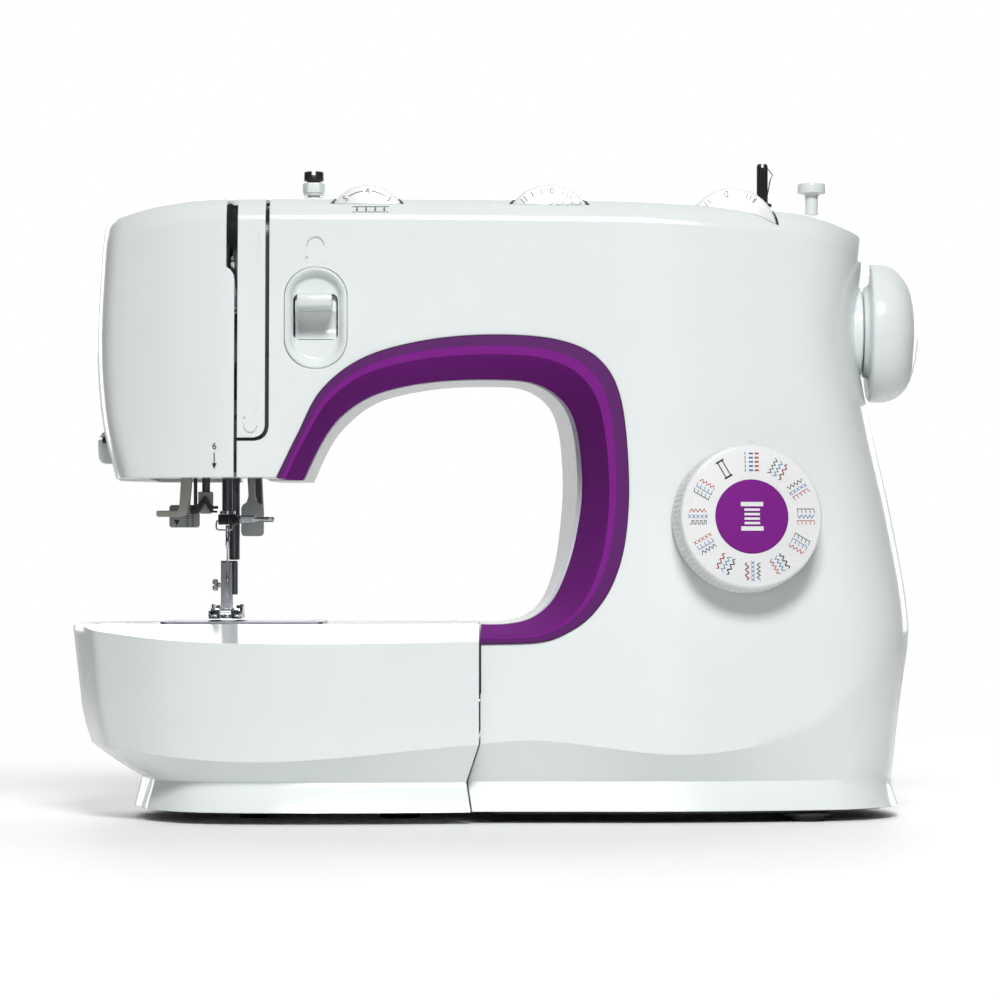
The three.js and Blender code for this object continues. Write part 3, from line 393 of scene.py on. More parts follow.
def make_turned_metal():
    """Metal: stretched brushing in the gloss and height, and smudges that tint the colour."""
    group, start, end = node_group("metal_surface", [
        ("Colour", "NodeSocketColor", (0.7, 0.7, 0.7, 1)), ("Shade", "NodeSocketColor", (0.5, 0.5, 0.5, 1)),
        ("Stretch", "NodeSocketVector", None), ("Gloss Low", "NodeSocketFloat", 0.15),
        ("Gloss High", "NodeSocketFloat", 0.3),
    ], [("Colour", "NodeSocketColor"), ("Roughness", "NodeSocketFloat"), ("Height", "NodeSocketFloat")])
    place = add(group, "ShaderNodeTexCoord").outputs["Object"]
    stretch = add(group, "ShaderNodeVectorMath", operation="MULTIPLY")
    group.links.new(place, stretch.inputs[0])
    group.links.new(start.outputs["Stretch"], stretch.inputs[1])
    lines = noise_of(group, stretch.outputs[0], 1.0, 4.0, 0.6)
    smudge = noise_of(group, place, 90.0, 3.0)
    tint = ranged(group, smudge.outputs["Fac"], 0.0, 1.0)
    group.links.new(mixed(group, tint, start.outputs["Colour"], start.outputs["Shade"]),
                    end.inputs["Colour"])
    group.links.new(ranged(group, lines.outputs["Fac"], start.outputs["Gloss Low"],
                           start.outputs["Gloss High"]), end.inputs["Roughness"])
    group.links.new(lines.outputs["Fac"], end.inputs["Height"])
    return group


MOULDED = make_moulded()
METAL = make_turned_metal()


def finish(name, group, colour, shade, bump=0.0, round_edge=0.0, stretch=None, **values):
    """A material whose colour, gloss and height come from a shared group; the rest are its own constants."""
    material = bpy.data.materials.new(name)
    material.use_nodes = True
    tree = material.node_tree
    shader = tree.nodes["Principled BSDF"]
    source = tree.nodes.new("ShaderNodeGroup")
    source.node_tree = group
    source.inputs["Colour"].default_value = (*colour, 1)
    source.inputs["Shade"].default_value = (*shade, 1)
    if stretch:
        source.inputs["Stretch"].default_value = stretch
    for label, value in values.items():
        label = label.replace("_", " ")
        target = source.inputs if label in source.inputs else shader.inputs
        target[label].default_value = value
    tree.links.new(source.outputs["Colour"], shader.inputs["Base Color"])
    tree.links.new(source.outputs["Roughness"], shader.inputs["Roughness"])
    bumped = add(tree, "ShaderNodeBump")
    bumped.inputs["Strength"].default_value = bump
    bumped.inputs["Distance"].default_value = 0.0002
    tree.links.new(source.outputs["Height"], bumped.inputs["Height"])
    if round_edge:
        edge = add(tree, "ShaderNodeBevel", samples=4)
        edge.inputs["Radius"].default_value = round_edge * MM
        tree.links.new(edge.outputs["Normal"], bumped.inputs["Normal"])
    tree.links.new(bumped.outputs["Normal"], shader.inputs["Normal"])
    return material


FINISHES = {
    "shell": finish("shell_plastic", MOULDED, (0.765, 0.81, 0.805), (0.745, 0.79, 0.785), 0.02, 0.7,
                    Gloss_Low=0.13, Gloss_High=0.2, IOR=1.49, Coat_Weight=0.25, Coat_Roughness=0.06),
    "shell_small": finish("shell_plastic_fine", MOULDED, (0.765, 0.81, 0.805), (0.745, 0.79, 0.785), 0.02,
                          Gloss_Low=0.16, Gloss_High=0.24, IOR=1.49, Coat_Weight=0.2, Coat_Roughness=0.08),
    "dial_white": finish("dial_plastic", MOULDED, (0.79, 0.80, 0.80), (0.75, 0.76, 0.765), 0.03, 0.3,
                         Gloss_Low=0.22, Gloss_High=0.3, IOR=1.49),
    "purple": finish("trim_purple", MOULDED, (0.2, 0.021, 0.24), (0.185, 0.019, 0.22), 0.03, 0.3,
                     Gloss_Low=0.75, Gloss_High=0.85, IOR=1.2, Specular_IOR_Level=0.02),
    "purple_light": finish("trim_purple_band", MOULDED, (0.105, 0.012, 0.135), (0.097, 0.011, 0.125), 0.03,
                           Gloss_Low=0.35, Gloss_High=0.45, IOR=1.4, Specular_IOR_Level=0.25),
    "black": finish("black_plastic", MOULDED, (0.012, 0.012, 0.014), (0.02, 0.02, 0.022), 0.05,
                    Gloss_Low=0.25, Gloss_High=0.4),
    "ink": finish("printed_ink", MOULDED, (0.01, 0.01, 0.012), (0.02, 0.02, 0.024), 0.02,
                  Gloss_Low=0.35, Gloss_High=0.5),
    "ink_blue": finish("printed_blue", MOULDED, (0.03, 0.16, 0.4), (0.04, 0.17, 0.36), 0.02,
                       Gloss_Low=0.35, Gloss_High=0.5),
    "ink_red": finish("printed_red", MOULDED, (0.45, 0.03, 0.03), (0.4, 0.03, 0.03), 0.02,
                      Gloss_Low=0.35, Gloss_High=0.5),
    "grey_mark": finish("grey_plastic", MOULDED, (0.32, 0.33, 0.34), (0.28, 0.29, 0.30), 0.03,
                        Gloss_Low=0.3, Gloss_High=0.42),
    "rubber": finish("foot_rubber", MOULDED, (0.014, 0.014, 0.015), (0.024, 0.024, 0.025), 0.3,
                     Gloss_Low=0.6, Gloss_High=0.8, Grain=2500.0),
    "chrome": finish("chrome_plate", METAL, (0.72, 0.73, 0.75), (0.62, 0.63, 0.65), 0.02,
                     stretch=(400, 400, 400), Gloss_Low=0.06, Gloss_High=0.14, Metallic=1.0),
    "steel": finish("brushed_steel", METAL, (0.58, 0.585, 0.59), (0.48, 0.485, 0.49), 0.06,
                    stretch=(60, 1500, 300), Gloss_Low=0.2, Gloss_High=0.34, Metallic=1.0),
    "dark_steel": finish("dark_steel", METAL, (0.2, 0.2, 0.21), (0.14, 0.14, 0.15), 0.06,
                         stretch=(900, 60, 900), Gloss_Low=0.25, Gloss_High=0.4, Metallic=1.0),
    "cast": finish("cast_aluminium", METAL, (0.42, 0.43, 0.44), (0.34, 0.35, 0.36), 0.5,
                   stretch=(700, 700, 700), Gloss_Low=0.5, Gloss_High=0.65, Metallic=0.9),
    "plate_steel": finish("plate_steel", METAL, (0.3, 0.31, 0.34), (0.24, 0.25, 0.28), 0.05,
                          stretch=(60, 1500, 300), Gloss_Low=0.35, Gloss_High=0.5, Metallic=1.0),
    "light_steel": finish("shank_steel", METAL, (0.5, 0.52, 0.56), (0.44, 0.46, 0.5), 0.04,
                          stretch=(300, 300, 900), Gloss_Low=0.4, Gloss_High=0.5, Metallic=0.55),
    "grey_plastic": finish("bracket_grey", MOULDED, (0.36, 0.37, 0.38), (0.32, 0.33, 0.34), 0.03, 0.3,
                           Gloss_Low=0.3, Gloss_High=0.42),
    "pale_plastic": finish("paddle_pale", MOULDED, (0.6, 0.62, 0.615), (0.56, 0.58, 0.575), 0.02, 0.3,
                           Gloss_Low=0.3, Gloss_High=0.4, Transmission_Weight=0.25, IOR=1.45),
    "beige": finish("lever_beige", MOULDED, (0.5, 0.48, 0.44), (0.46, 0.44, 0.40), 0.04, 0.3,
                    Gloss_Low=0.3, Gloss_High=0.4),
    "clear": finish("clear_grey", MOULDED, (0.66, 0.68, 0.72), (0.62, 0.64, 0.68), 0.02,
                    Gloss_Low=0.12, Gloss_High=0.2, Transmission_Weight=0.7, IOR=1.45),
}
SLOT = {"shell": "shell", "shell_small": "shell", "dial_white": "dial_white", "purple": "purple",
        "purple_light": "purple", "black": "black", "ink": "black", "ink_blue": "black", "ink_red": "black",
        "grey_mark": "black", "rubber": "rubber", "chrome": "chrome", "steel": "steel",
        "dark_steel": "dark_steel", "cast": "cast", "beige": "beige", "clear": "clear",
        "plate_steel": "steel", "light_steel": "steel", "grey_plastic": "clear", "pale_plastic": "clear"}

# ------------------------------------------------------------------ outer skin
top_z = through([[-190, 279], [-175, 284.5], [-158, 289], [-129, 292], [56, 291.2], [90, 289.6],
                 [140, 286], [156, 282.4], [178, 275]])
right_x = through([[0, 193], [16, 187.6], [60, 192], [90, 195.4], [140, 187.4], [187, 176.9],
                   [222, 171.2], [256, 173], [292, 177.5]])
left_x = through([[158, -178.6], [185, -185.4], [221, -188.2], [264, -186.3], [292, -183.5]])
crease_z = through([[-200, 36], [-110, 28.8], [-10, 36.5], [20, 38.3], [90, 31.8], [140, 42.5], [171, 66],
                    [196, 89]])
top_fade = through([[0, 0.08], [0.4, 0.3], [1.5, 0.58], [3.5, 0.86], [12, 1]])


def end_round(e, radius):
    return (1 - np.clip(1 - e / radius, 0, 1) ** 2.5) ** 0.4


def front_depth(x, z):
    crease = crease_z(x)
    depth = FRONT_DEPTH + FRONT_LEAN * (SHOULDER_Z - np.minimum(np.maximum(z, crease), SHOULDER_Z))
    depth = depth - np.where(x > 60, (x - 60) ** 2 / 700, 0) - np.where(x < -121, (x + 121) ** 2 / 180, 0)
    depth = depth - np.where(z < crease, WAIST_STEP * np.minimum((crease - z) / (crease - WAIST_Z), 1), 0)
    depth = depth + np.where(z < WAIST_Z, FLARE * (WAIST_Z - z) / (WAIST_Z - BOTTOM_Z), 0)
    cheek = np.clip(end_round(x - left_x(z), 11), 0, 1)
    ends = end_round(right_x(z) - x, 36) * (0.1 + 0.9 * cheek)
    return np.maximum(depth * ends * top_fade(top_z(x) - z), 1)


def rear_depth(x, z):
    depth = REAR_DEPTH + REAR_LEAN * (SHOULDER_Z - np.minimum(np.maximum(z, 33), SHOULDER_Z))
    depth = depth - np.where(z < 33, 8 * np.minimum((33 - z) / (33 - WAIST_Z), 1), 0)
    depth = depth + np.where(z < WAIST_Z, 4 * (WAIST_Z - z) / (WAIST_Z - BOTTOM_Z), 0)
    ends = end_round(right_x(z) - x, 45) * (0.06 + 0.94 * end_round(x - left_x(z), 45))
    return np.maximum(depth * ends * top_fade(top_z(x) - z), 1)


def skin(side, inset, step=2.5):
    """Half of the outer skin as a closed solid: side -1 is the front and +1 the rear."""
    near = [0, 0.12, 0.4, 0.9, 1.6, 2.5, 3.6, 5, 6.6, 8.5, 11, 14, 18, 23, 29, 36, 44]
    middle = np.arange(-128, 122, step)
    drops = [12, 9.5, 7.5, 6, 4.7, 3.5, 2.5, 1.5, 0.9, 0.4, 0.15, 0]
    depth_at = front_depth if side < 0 else rear_depth
    rises = [("z", BOTTOM_Z), ("z", 10.0), ("z", 15.0), ("z", WAIST_Z)]
    rises += [("low", t) for t in (0.5, 0.9, 1.0)]
    rises += [("t", t) for t in np.linspace(0, 1, int(240 / step))]
    rises += [("drop", d) for d in drops[1:]]
    rows = []
    for kind, value in rises:
        xs = np.concatenate([np.full(len(near), -180.0), middle, np.full(len(near), 175.0)])
        for _ in range(3):
            top = top_z(xs)
            low = crease_z(xs) if side < 0 else np.full(len(xs), 33.0)
            if kind == "z":
                z = np.full(len(xs), -20.0 if inset > 0 and value == BOTTOM_Z else value)
            elif kind == "low":
                z = WAIST_Z + (low - WAIST_Z) * value
            elif kind == "t":
                z = low + value * (top - 12 - inset - low)
            else:
                z = top - inset - value
            left = left_x(z[:len(near)]) + inset + np.array(near)
            right = right_x(z[-len(near):]) - inset - np.array(near[::-1])
            xs = np.concatenate([left, middle, right])
        measured = xs.copy()
        measured[:len(near)] -= inset
        measured[-len(near):] += inset
        level = np.minimum(z + (inset if kind == "drop" else 0), top_z(xs))
        y = SPLIT_Y + side * np.maximum(depth_at(measured, level) - inset, 0.5)
        rows.append(np.stack([xs, y, z], 1))
    outer = np.array(rows)
    flat = outer.copy()
    flat[:, :, 1] = SPLIT_Y - side * (6 if inset > 0 else -REVEAL / 2)
    nr, nc = outer.shape[:2]
    verts = np.concatenate([outer.reshape(-1, 3), flat.reshape(-1, 3)])

    def vid(layer, r, c):
        return (layer * nr + r) * nc + c

    faces = []
    for r in range(nr - 1):
        for c in range(nc - 1):
            faces.append((vid(0, r, c), vid(0, r, c + 1), vid(0, r + 1, c + 1), vid(0, r + 1, c)))
            faces.append((vid(1, r, c), vid(1, r + 1, c), vid(1, r + 1, c + 1), vid(1, r, c + 1)))
        faces.append((vid(0, r, 0), vid(0, r + 1, 0), vid(1, r + 1, 0), vid(1, r, 0)))
        faces.append((vid(0, r, nc - 1), vid(1, r, nc - 1), vid(1, r + 1, nc - 1), vid(0, r + 1, nc - 1)))
    for c in range(nc - 1):
        faces.append((vid(0, 0, c), vid(1, 0, c), vid(1, 0, c + 1), vid(0, 0, c + 1)))
        faces.append((vid(0, nr - 1, c), vid(0, nr - 1, c + 1), vid(1, nr - 1, c + 1), vid(1, nr - 1, c)))
    return mesh_object("skin", verts, faces)


# ------------------------------------------------------------------ throat and seam outlines
TRIM_OUTER = flowing([[-100.8, HEAD_BOTTOM_Z], [-91, 179], [-80, 199.5], [-60, 214.5], [-30, 222.5],
                      [2, 224.7], [30, 222], [48, 213], [57.5, 195], [61, 160], [59.5, 131], [54, 111],
                      [45, 97], [34, 88.5], [20, 83.5], [SEAM_X, 82.6]], 110)
TRIM_INNER = flowing([[-91.5, HEAD_BOTTOM_Z], [-82, 178], [-72, 190.5], [-56, 200], [-30, 205.5],
                      [2, 206.6], [20, 204.2], [33, 195], [39, 180], [41, 155], [38.5, 134], [34, 117],
                      [27, 102], [17, 93.5], [5, 90.6], [SEAM_X, 90.4]], 110)
REAR_THROAT = flowing([[-88, HEAD_BOTTOM_Z], [-80, 176], [-70, 188], [-55, 198], [-30, 203.5],
                       [-6, 204.8], [10, 203.8], [21, 197], [26.5, 184], [28.8, 160], [28.4, 139],
                       [26.3, 118], [21, 102], [13, 94], [2, 91.2], [SEAM_X, 91]], 110)
SEAM = [[SEAM_X, 120], [SEAM_X, 37], [-12.9, WAIST_Z], [-10.8, BOTTOM_Z], [-10.8, -30], [-FAR, -30],
        [-FAR, 120]][::-1]


def throat(line, low):
    """The space under the arm as a closed outline: a throat line, then the open left side."""
    return [*line, (SEAM_X, low), (-FAR, low), (-FAR, HEAD_BOTTOM_Z)]


def between(a, b, share):
    return [tuple(p) for p in np.array(a) + (np.array(b) - np.array(a)) * share]


def funnel(rings):
    """A closed body through (outline in x and z, y) rings."""
    n = len(rings[0][0])
    verts = [(x, y, z) for line, y in rings for x, z in line]
    faces = [(r * n + i, r * n + (i + 1) % n, (r + 1) * n + (i + 1) % n, (r + 1) * n + i)
             for r in range(len(rings) - 1) for i in range(n)]
    faces += [tuple(reversed(range(n))), tuple(range((len(rings) - 1) * n, len(rings) * n))]
    return mesh_object("funnel", verts, faces)


# ------------------------------------------------------------------ covers
TOP_DIALS = {"tension_dial": ((-59.6, -44.5, 277), 18.5), "width_dial": ((24.8, -44.5, 274.5), 21),
             "length_dial": ((110.2, -39.5, 273.5), 21)}
DIAL_TILT = -10
BEZEL_X, BEZEL_Z = (-97.4, -68.8), (209.5, 256)
PATTERN_AT, PATTERN_TURN = (114.4, -61.6, 139.4), (-4.9, 0, 8.8)
PATTERN_R, PATTERN_H = 34, 17.5
STRIP = [(-119.25, 330), (-119.25, 177.4), (-111.5, 177.4), (-109.2, 178.1), (-107.8, 179.2),
         (-106.8, 180.9), (-106.4, 183), (-106.4, 330)]
HEAD_SIDE = [(-FAR, 140), (-119.25, 140), (-119.25, 175.9), (-111, 175.9), (-108.2, 176.6), (-106.3, 178),
             (-105.1, 180), (-104.6, 182.5), (-104.6, 330), (-FAR, 330)]
FACE_SIDE = [(-FAR, 140), (-120.7, 140), (-120.7, 250.5), (-121.2, 253), (-122.6, 255.2), (-124.5, 256.5),
             (-124.5, 330), (-FAR, 330)]
HANDLE_BAY = ((-62, 54), (13, 66), (282.5, 330))
SPOOL_X, SPOOL_Y = (70, 100), 30


def head_hole():
    return swept("z", rounded((-163, -108), (-30, 56), 5, 6), 150, 166)


def winder_slot():
    return swept("z", rounded((122, 137), (1.2, 8.8), 3.7, 8), 255, 300)


def shaft_hole():
    return swept("x", circle(SPLIT_Y, SHAFT_Z, 8, 40), 160, 200)


def make_front_covers():
    wall_tube = swept("y", grown(throat(TRIM_OUTER, 60), REVEAL + WALL), -FAR, 20)
    seam_wall = swept("y", grown(SEAM, WALL), -FAR, 20)
    cavity = boolean(skin(-1, WALL, 5), [wall_tube, seam_wall])
    channel = swept("x", circle(SPLIT_Y, SHAFT_Z, 5.2, 24), -60, 70)
    shell = boolean(skin(-1, 0), [cavity, swept("y", grown(throat(TRIM_OUTER, 60), REVEAL), -FAR, 20),
                                  swept("y", SEAM, -FAR, 20), head_hole(), winder_slot(), shaft_hole(),
                                  channel, box((-20, 0), (-30.5, 20), (0, 8.7))])
    strip = boolean(copy_of(shell), [swept("y", STRIP, -FAR, 20)], "INTERSECT")
    face = boolean(copy_of(shell), [swept("y", FACE_SIDE, -FAR, 20)], "INTERSECT")
    cuts = [swept("y", HEAD_SIDE, -FAR, 20)]
    for at, radius in TOP_DIALS.values():
        slot = cylinder("y", radius + 0.4, -6, 4.2, sides=96)
        cuts.append(turn_to(slot, at, (DIAL_TILT, 0, 0)))
    cuts.append(swept("y", rounded((BEZEL_X[0] - REVEAL, BEZEL_X[1] + REVEAL),
                                   (BEZEL_Z[0] - REVEAL, BEZEL_Z[1] + REVEAL), 14, 20), -80, -40))
    cuts.append(turn_to(cylinder("y", 6, -20, 30), PATTERN_AT, PATTERN_TURN))
    cuts.append(cylinder("z", 3.4, 280, 300, (-85.8, -10, 0), 32))
    shell = boolean(shell, cuts)
    piece(shell, "front_shell", "machine", "shell", "front_cover")
    piece(face, "face_shell", "machine", "shell", "face_cover")
    piece(strip, "thread_channel_shell", "machine", "shell", "thread_channel_cover")
    # A thin black sheet just inside the front cover, behind the slits round the thread channel: painted
    # shade, a dark sheet standing in for the shadowed inside of the head seen through the slits.
    shade_liner = boolean(skin(-1, WALL + 1.2, 5), [skin(-1, WALL + 2.2, 5)])
    behind = [(-120.6, 171), (-103.4, 171), (-103.4, 289), (-108.6, 289), (-108.6, 186), (-120.6, 186)]
    piece(boolean(shade_liner, [swept("y", behind, -FAR, -10)], "INTERSECT"), "seam_painted_shade", "machine",
          "black")


def make_rear_cover():
    body_void, inner_void = throat(REAR_THROAT, BED_Z), throat(TRIM_INNER, 90.4)
    throat_wall = funnel([(grown(inner_void, WALL), -20), (grown(body_void, WALL), 120)])
    (x0, x1), (y0, y1), (z0, z1) = HANDLE_BAY
    bay_wall = swept("z", rounded((x0 - WALL, x1 + WALL), (y0 - WALL, y1 + WALL), 5), z0 - WALL, z1)
    cavity = boolean(skin(1, WALL, 5), [throat_wall, bay_wall])
    cuts = [cavity, funnel([(inner_void, -20), (body_void, 120)]), swept("y", SEAM, -20, FAR), head_hole(),
            winder_slot(), shaft_hole(), swept("z", rounded((x0, x1), (y0, y1), 4), z0, z1)]
    for x in SPOOL_X:
        cuts.append(cylinder("z", 2.9, 270, 310, (x, SPOOL_Y, 0), 32))
    low, high = mm("inlet_socket")
    cuts.append(swept("x", rounded((low[1] - REVEAL, high[1] + REVEAL), (low[2] - REVEAL, high[2] + REVEAL),
                                   1.2), 160, 210))
    low, high = mm("power_switch")
    cuts.append(swept("x", rounded((low[1] - 0.6, high[1] + 0.6), (71.4, 90.6), 1.2), 160, 210))
    cuts.append(box((-124, -106), (50, 120), (150, 188)))
    for i in range(9):
        z = 118 + i * 6.5
        cuts.append(swept("x", rounded((20, 58), (z, z + 2.4), 1.1, 5), 165, 215))
    for x in (-150, 120):
        cuts.append(cylinder("y", 3.6, 50, 120, (x, 0, 250 if x < 0 else 240), 32))
    piece(boolean(skin(1, 0), cuts), "rear_shell", "machine", "shell", "rear_cover")


def make_trim():
    """The purple surround of the throat: a band flush with the skin, a small ridge, then the deep funnel."""
    blank = [*TRIM_OUTER, (SEAM_X, 100), (-60, 130), (-80, 150), (-85, HEAD_BOTTOM_Z)]
    lip = throat(between(TRIM_OUTER, TRIM_INNER, 0.29), 60)
    inner = throat(TRIM_INNER, 60)

    def bell(bulge, grow=0.0, near=-90.0, far=SPLIT_Y):
        rings = []
        for t in np.linspace(0, 1, 22):
            share = t + bulge * math.sin(math.pi * t)
            line = between(lip, inner, share)
            rings.append((grown(line, grow) if grow else line, near + (far - near) * t))
        return funnel(rings)

    body = boolean(skin(-1, -1.2), [swept("y", blank, -FAR, 20)], "INTERSECT")
    groove_out = swept("y", throat(between(TRIM_OUTER, TRIM_INNER, 0.27), 60), -FAR, 20)
    body = boolean(body, [bell(0.10, 0.0, -78.0)])
    inside = boolean(boolean(skin(-1, 1.6, 5), [swept("y", grown(blank, -2.2), -FAR, 20)], "INTERSECT"),
                     [bell(0.10, 2.2, -90.0, 12)])
    body = boolean(body, [inside])
    # The outer band stands out from the funnel in a lighter finish.
    band = boolean(copy_of(body), [copy_of(groove_out)])
    shade = boolean(body, [groove_out], "INTERSECT")
    piece(band, "trim_band", "machine", "purple_light", "opening_trim")
    piece(shade, "trim_funnel", "machine", "purple", "opening_trim")


# ------------------------------------------------------------------ base, free arm and table
ARM_FRONT_Y, ARM_REAR_Y, ARM_UNDER_Z = -32, 48, 38
PLATE_X, PLATE_Y, PLATE_Z = (-157.4, -81), (-25, 35), (89.6, 92)
FEED_SLOTS = ((-136.2, -130.9), (-124.2, -118.9))
DOOR_X, DOOR_Z = (-154, -100), (42, 80)


def make_free_arm():
    section = rounded((ARM_FRONT_Y, ARM_REAR_Y), (ARM_UNDER_Z, BED_Z), 7, 10)
    hollow = rounded((ARM_FRONT_Y + 2, ARM_REAR_Y - 2.5), (ARM_UNDER_Z + 2.5, BED_Z - 2.5), 5, 8)
    plan = swept("z", rounded((-187, 40), (ARM_FRONT_Y, ARM_REAR_Y), 14, 16), 0, 120)
    inner_plan = swept("z", rounded((-184.5, 40), (ARM_FRONT_Y + 2, ARM_REAR_Y - 2.5), 11.5, 16), 0, 120)
    shell = boolean(boolean(swept("x", section, -187, SEAM_X - 1.3), [plan], "INTERSECT"),
                    [boolean(swept("x", hollow, -184.5, 10), [inner_plan], "INTERSECT"),
                     swept("z", rounded((PLATE_X[0] - JOIN, PLATE_X[1] + JOIN),
                                        (PLATE_Y[0] - JOIN, PLATE_Y[1] + JOIN), 3.2), PLATE_Z[0] - JOIN,
                           100), box((PLATE_X[0] + 5, PLATE_X[1] - 5), (PLATE_Y[0] + 4, PLATE_Y[1] - 4),
                                     (80, 100)), box((DOOR_X[0] - JOIN, DOOR_X[1] + JOIN),
                                                     (-60, ARM_FRONT_Y + 6),
                                                     (DOOR_Z[0] - DOOR_DROP, DOOR_Z[1] + JOIN)),
                     box((-53, -30), (40, 60), (52.5, 57.5))])
    piece(soften(shell, 0.6), "free_arm_casing", "machine", "shell", "free_arm_shell")
    cuts = [swept("z", rounded(x, (-14, 24), 0.8, 4), 80, 100) for x in FEED_SLOTS]
    cuts.append(swept("z", rounded((-127.9, -127.1), (-10, 2), 0.35, 4), 80, 100))
    cuts.append(swept("z", rounded((NEEDLE_X - 3.4, NEEDLE_X + 3.4), (SPLIT_Y - 1.1, SPLIT_Y + 1.1), 1, 6),
                      80, 100))
    for offset in (10, 15, 20, 25):
        for side in (-1, 1):
            x = NEEDLE_X + side * offset
            if PLATE_X[0] + 4 < x < PLATE_X[1] - 4:
                cuts.append(box((x - 0.18, x + 0.18), (-20, -15.5), (91.75, 95)))
                cuts.append(box((x - 0.18, x + 0.18), (26, 31), (91.75, 95)))
    screws = [(PLATE_X[0] + 6, -19), (PLATE_X[1] - 6, -19), (PLATE_X[1] - 6, 29)]
    for x, y in screws:
        cuts.append(cylinder("z", 2.6, 90.8, 95, (x, y, 0), 32))
    plate = soften(boolean(swept("z", rounded(PLATE_X, PLATE_Y, 3, 8), *PLATE_Z), cuts), 0.18)
    piece(plate, "throat_plate", "machine", "plate_steel", "needle_plate")
    for i, (x, y) in enumerate(screws):
        head = boolean(lathe("z", [(0, 90.9), (2.4, 90.9), (2.4, 91.6), (1.9, 91.9), (0, 91.9)], (x, y, 0),
                             32), [box((x - 2.6, x + 2.6), (y - 0.3, y + 0.3), (91.4, 93))])
        piece(head, "plate_screw_%d" % i, "machine", "dark_steel")
    door = swept("y", rounded(DOOR_X, DOOR_Z, 1.2, 5), ARM_FRONT_Y, ARM_FRONT_Y + 2)
    dent = lathe("y", [(0, -40), (7, -40), (7, ARM_FRONT_Y + 0.4), (5, ARM_FRONT_Y + 1),
                       (0, ARM_FRONT_Y + 1.2)], (-127, 0, DOOR_Z[1] - 1), 48)
    piece(soften(boolean(door, [dent]), 0.3), "bobbin_cover", "door", "shell_small", "bobbin_door")


TABLE_KNOTS = [(SEAM_X - 0.7, -80), (-60, -86), (-110, -87), (-150, -77.5), (-181, -56), (-190, -44),
               (-198, -20), (-200.4, 2), (-199, 26), (-193, 48), (-172, 66), (-120, 79), (SEAM_X - 0.7, 82)]


def make_table():
    plan = flowing(TABLE_KNOTS, 150)
    tall = [(BOTTOM_Z, 4, 29, 0), (10, 6, 30.2, 0), (15, 9, 31.6, 0), (WAIST_Z, WAIST_STEP, 32.5, 0),
            (None, WAIST_STEP / 2, 20.6, 0.5), (None, 1.2, 11.2, 0.9), (None, 0, 9, 1)]
    levels = tall + [(h, *v) for h, v in zip(
        (44, 52, 60, 68, 76, 84, 88.5, 90.3, BED_Z),
        ((-0.4, 6.2, None), (-0.6, 4.5, None), (-0.45, 3.6, None), (-0.3, 2.7, None), (-0.2, 1.8, None),
         (-0.1, 0.9, None), (0, 0.3, None), (0.4, 0.6, None), (1.4, 1.8, None)))]

    def rings_at(inset):
        rings = []
        for height, front, end, share in levels:
            outline = []
            for x, y in plan:
                to_end = min(max((-x - 110) / 85, 0), 1) ** 1.6
                outline.append((x + end * to_end, y - math.copysign(front, y) * min(abs(y) / 40, 1)))
            outline += [(SEAM_X + 30, 82), (SEAM_X + 30, -80)]
            line = grown(outline, -inset) if inset else outline
            ring = []
            for (x, y), (ox, _) in zip(line, outline):
                crease = float(crease_z(ox))
                if share is None:
                    z = max(height, crease + 1.0) if height < 60 else height
                elif share:
                    z = WAIST_Z + (crease - WAIST_Z) * share
                else:
                    z = -5 if inset and height == BOTTOM_Z else height
                ring.append((x, y, z - (inset if height == BED_Z else 0)))
            rings.append(ring)
        n = len(rings[0])
        verts = [p for ring in rings for p in ring]
        faces = [(r * n + i, r * n + (i + 1) % n, (r + 1) * n + (i + 1) % n, (r + 1) * n + i)
                 for r in range(len(rings) - 1) for i in range(n)]
        faces += [tuple(reversed(range(n))), tuple(range((len(rings) - 1) * n, len(rings) * n))]
        return mesh_object("table", verts, faces)

    def slope(lift):
        edge = ARM_FRONT_Y - 1.5
        fall = [(edge, BED_Z + lift + 3)]
        for t in np.linspace(0, 1, 14):
            fall.append((edge + (-95 - edge) * t, BED_Z + lift - (BED_Z - 81.6) * t))
        return swept("x", [*fall, (-95, 120), (edge, 120)], -FAR, FAR)

    body = boolean(rings_at(0), [slope(0)])
    hollow = boolean(rings_at(WALL), [slope(-WALL)])
    arm_bay = swept("z", rounded((-188.5, 60), (ARM_FRONT_Y - 1.5, ARM_REAR_Y + 1.5), 15.5, 16), 37.6, 100)
    under_bay = swept("z", rounded((-155, 60), (ARM_FRONT_Y - 1.5, ARM_REAR_Y + 1.5), 7.5, 12), -10, 37.7)
    right_side = [(SEAM_X - 0.6, 120), (SEAM_X - 0.6, 37), (-13.5, WAIST_Z), (-11.4, BOTTOM_Z),
                  (-11.4, -30), (FAR, -30), (FAR, 120)]
    body = boolean(body, [hollow, arm_bay, under_bay, swept("y", right_side, -FAR, FAR)])
    piece(body, "table_shell", "table", "shell", "extension_table")


# ------------------------------------------------------------------ marks and numerals
def prism(outlines, place, lift=0.18, sink=0.3):
    """Flat (u, v) outlines raised a little from a surface; place(u, v, h) gives the point h above it."""
    verts, faces = [], []
    for line in outlines:
        n, base = len(line), len(verts)
        verts += [place(u, v, lift) for u, v in line] + [place(u, v, -sink) for u, v in line]
        faces.append(tuple(base + i for i in range(n)))
        faces.append(tuple(base + n + i for i in reversed(range(n))))
        faces += [(base + i, base + (i + 1) % n, base + n + (i + 1) % n, base + n + i) for i in range(n)]
    return mesh_object("mark", verts, faces)


def stroke(points, width):
    """A line of some width as closed quads, one for each stretch."""
    quads = []
    for (u0, v0), (u1, v1) in zip(points, points[1:]):
        length = math.hypot(u1 - u0, v1 - v0)
        if length < 1e-6:
            continue
        du, dv = (u1 - u0) / length * width / 2, (v1 - v0) / length * width / 2
        quads.append([(u0 - du - dv, v0 - dv + du), (u0 - du + dv, v0 - dv - du),
                      (u1 + du + dv, v1 + dv - du), (u1 + du - dv, v1 + dv + du)])
    return quads


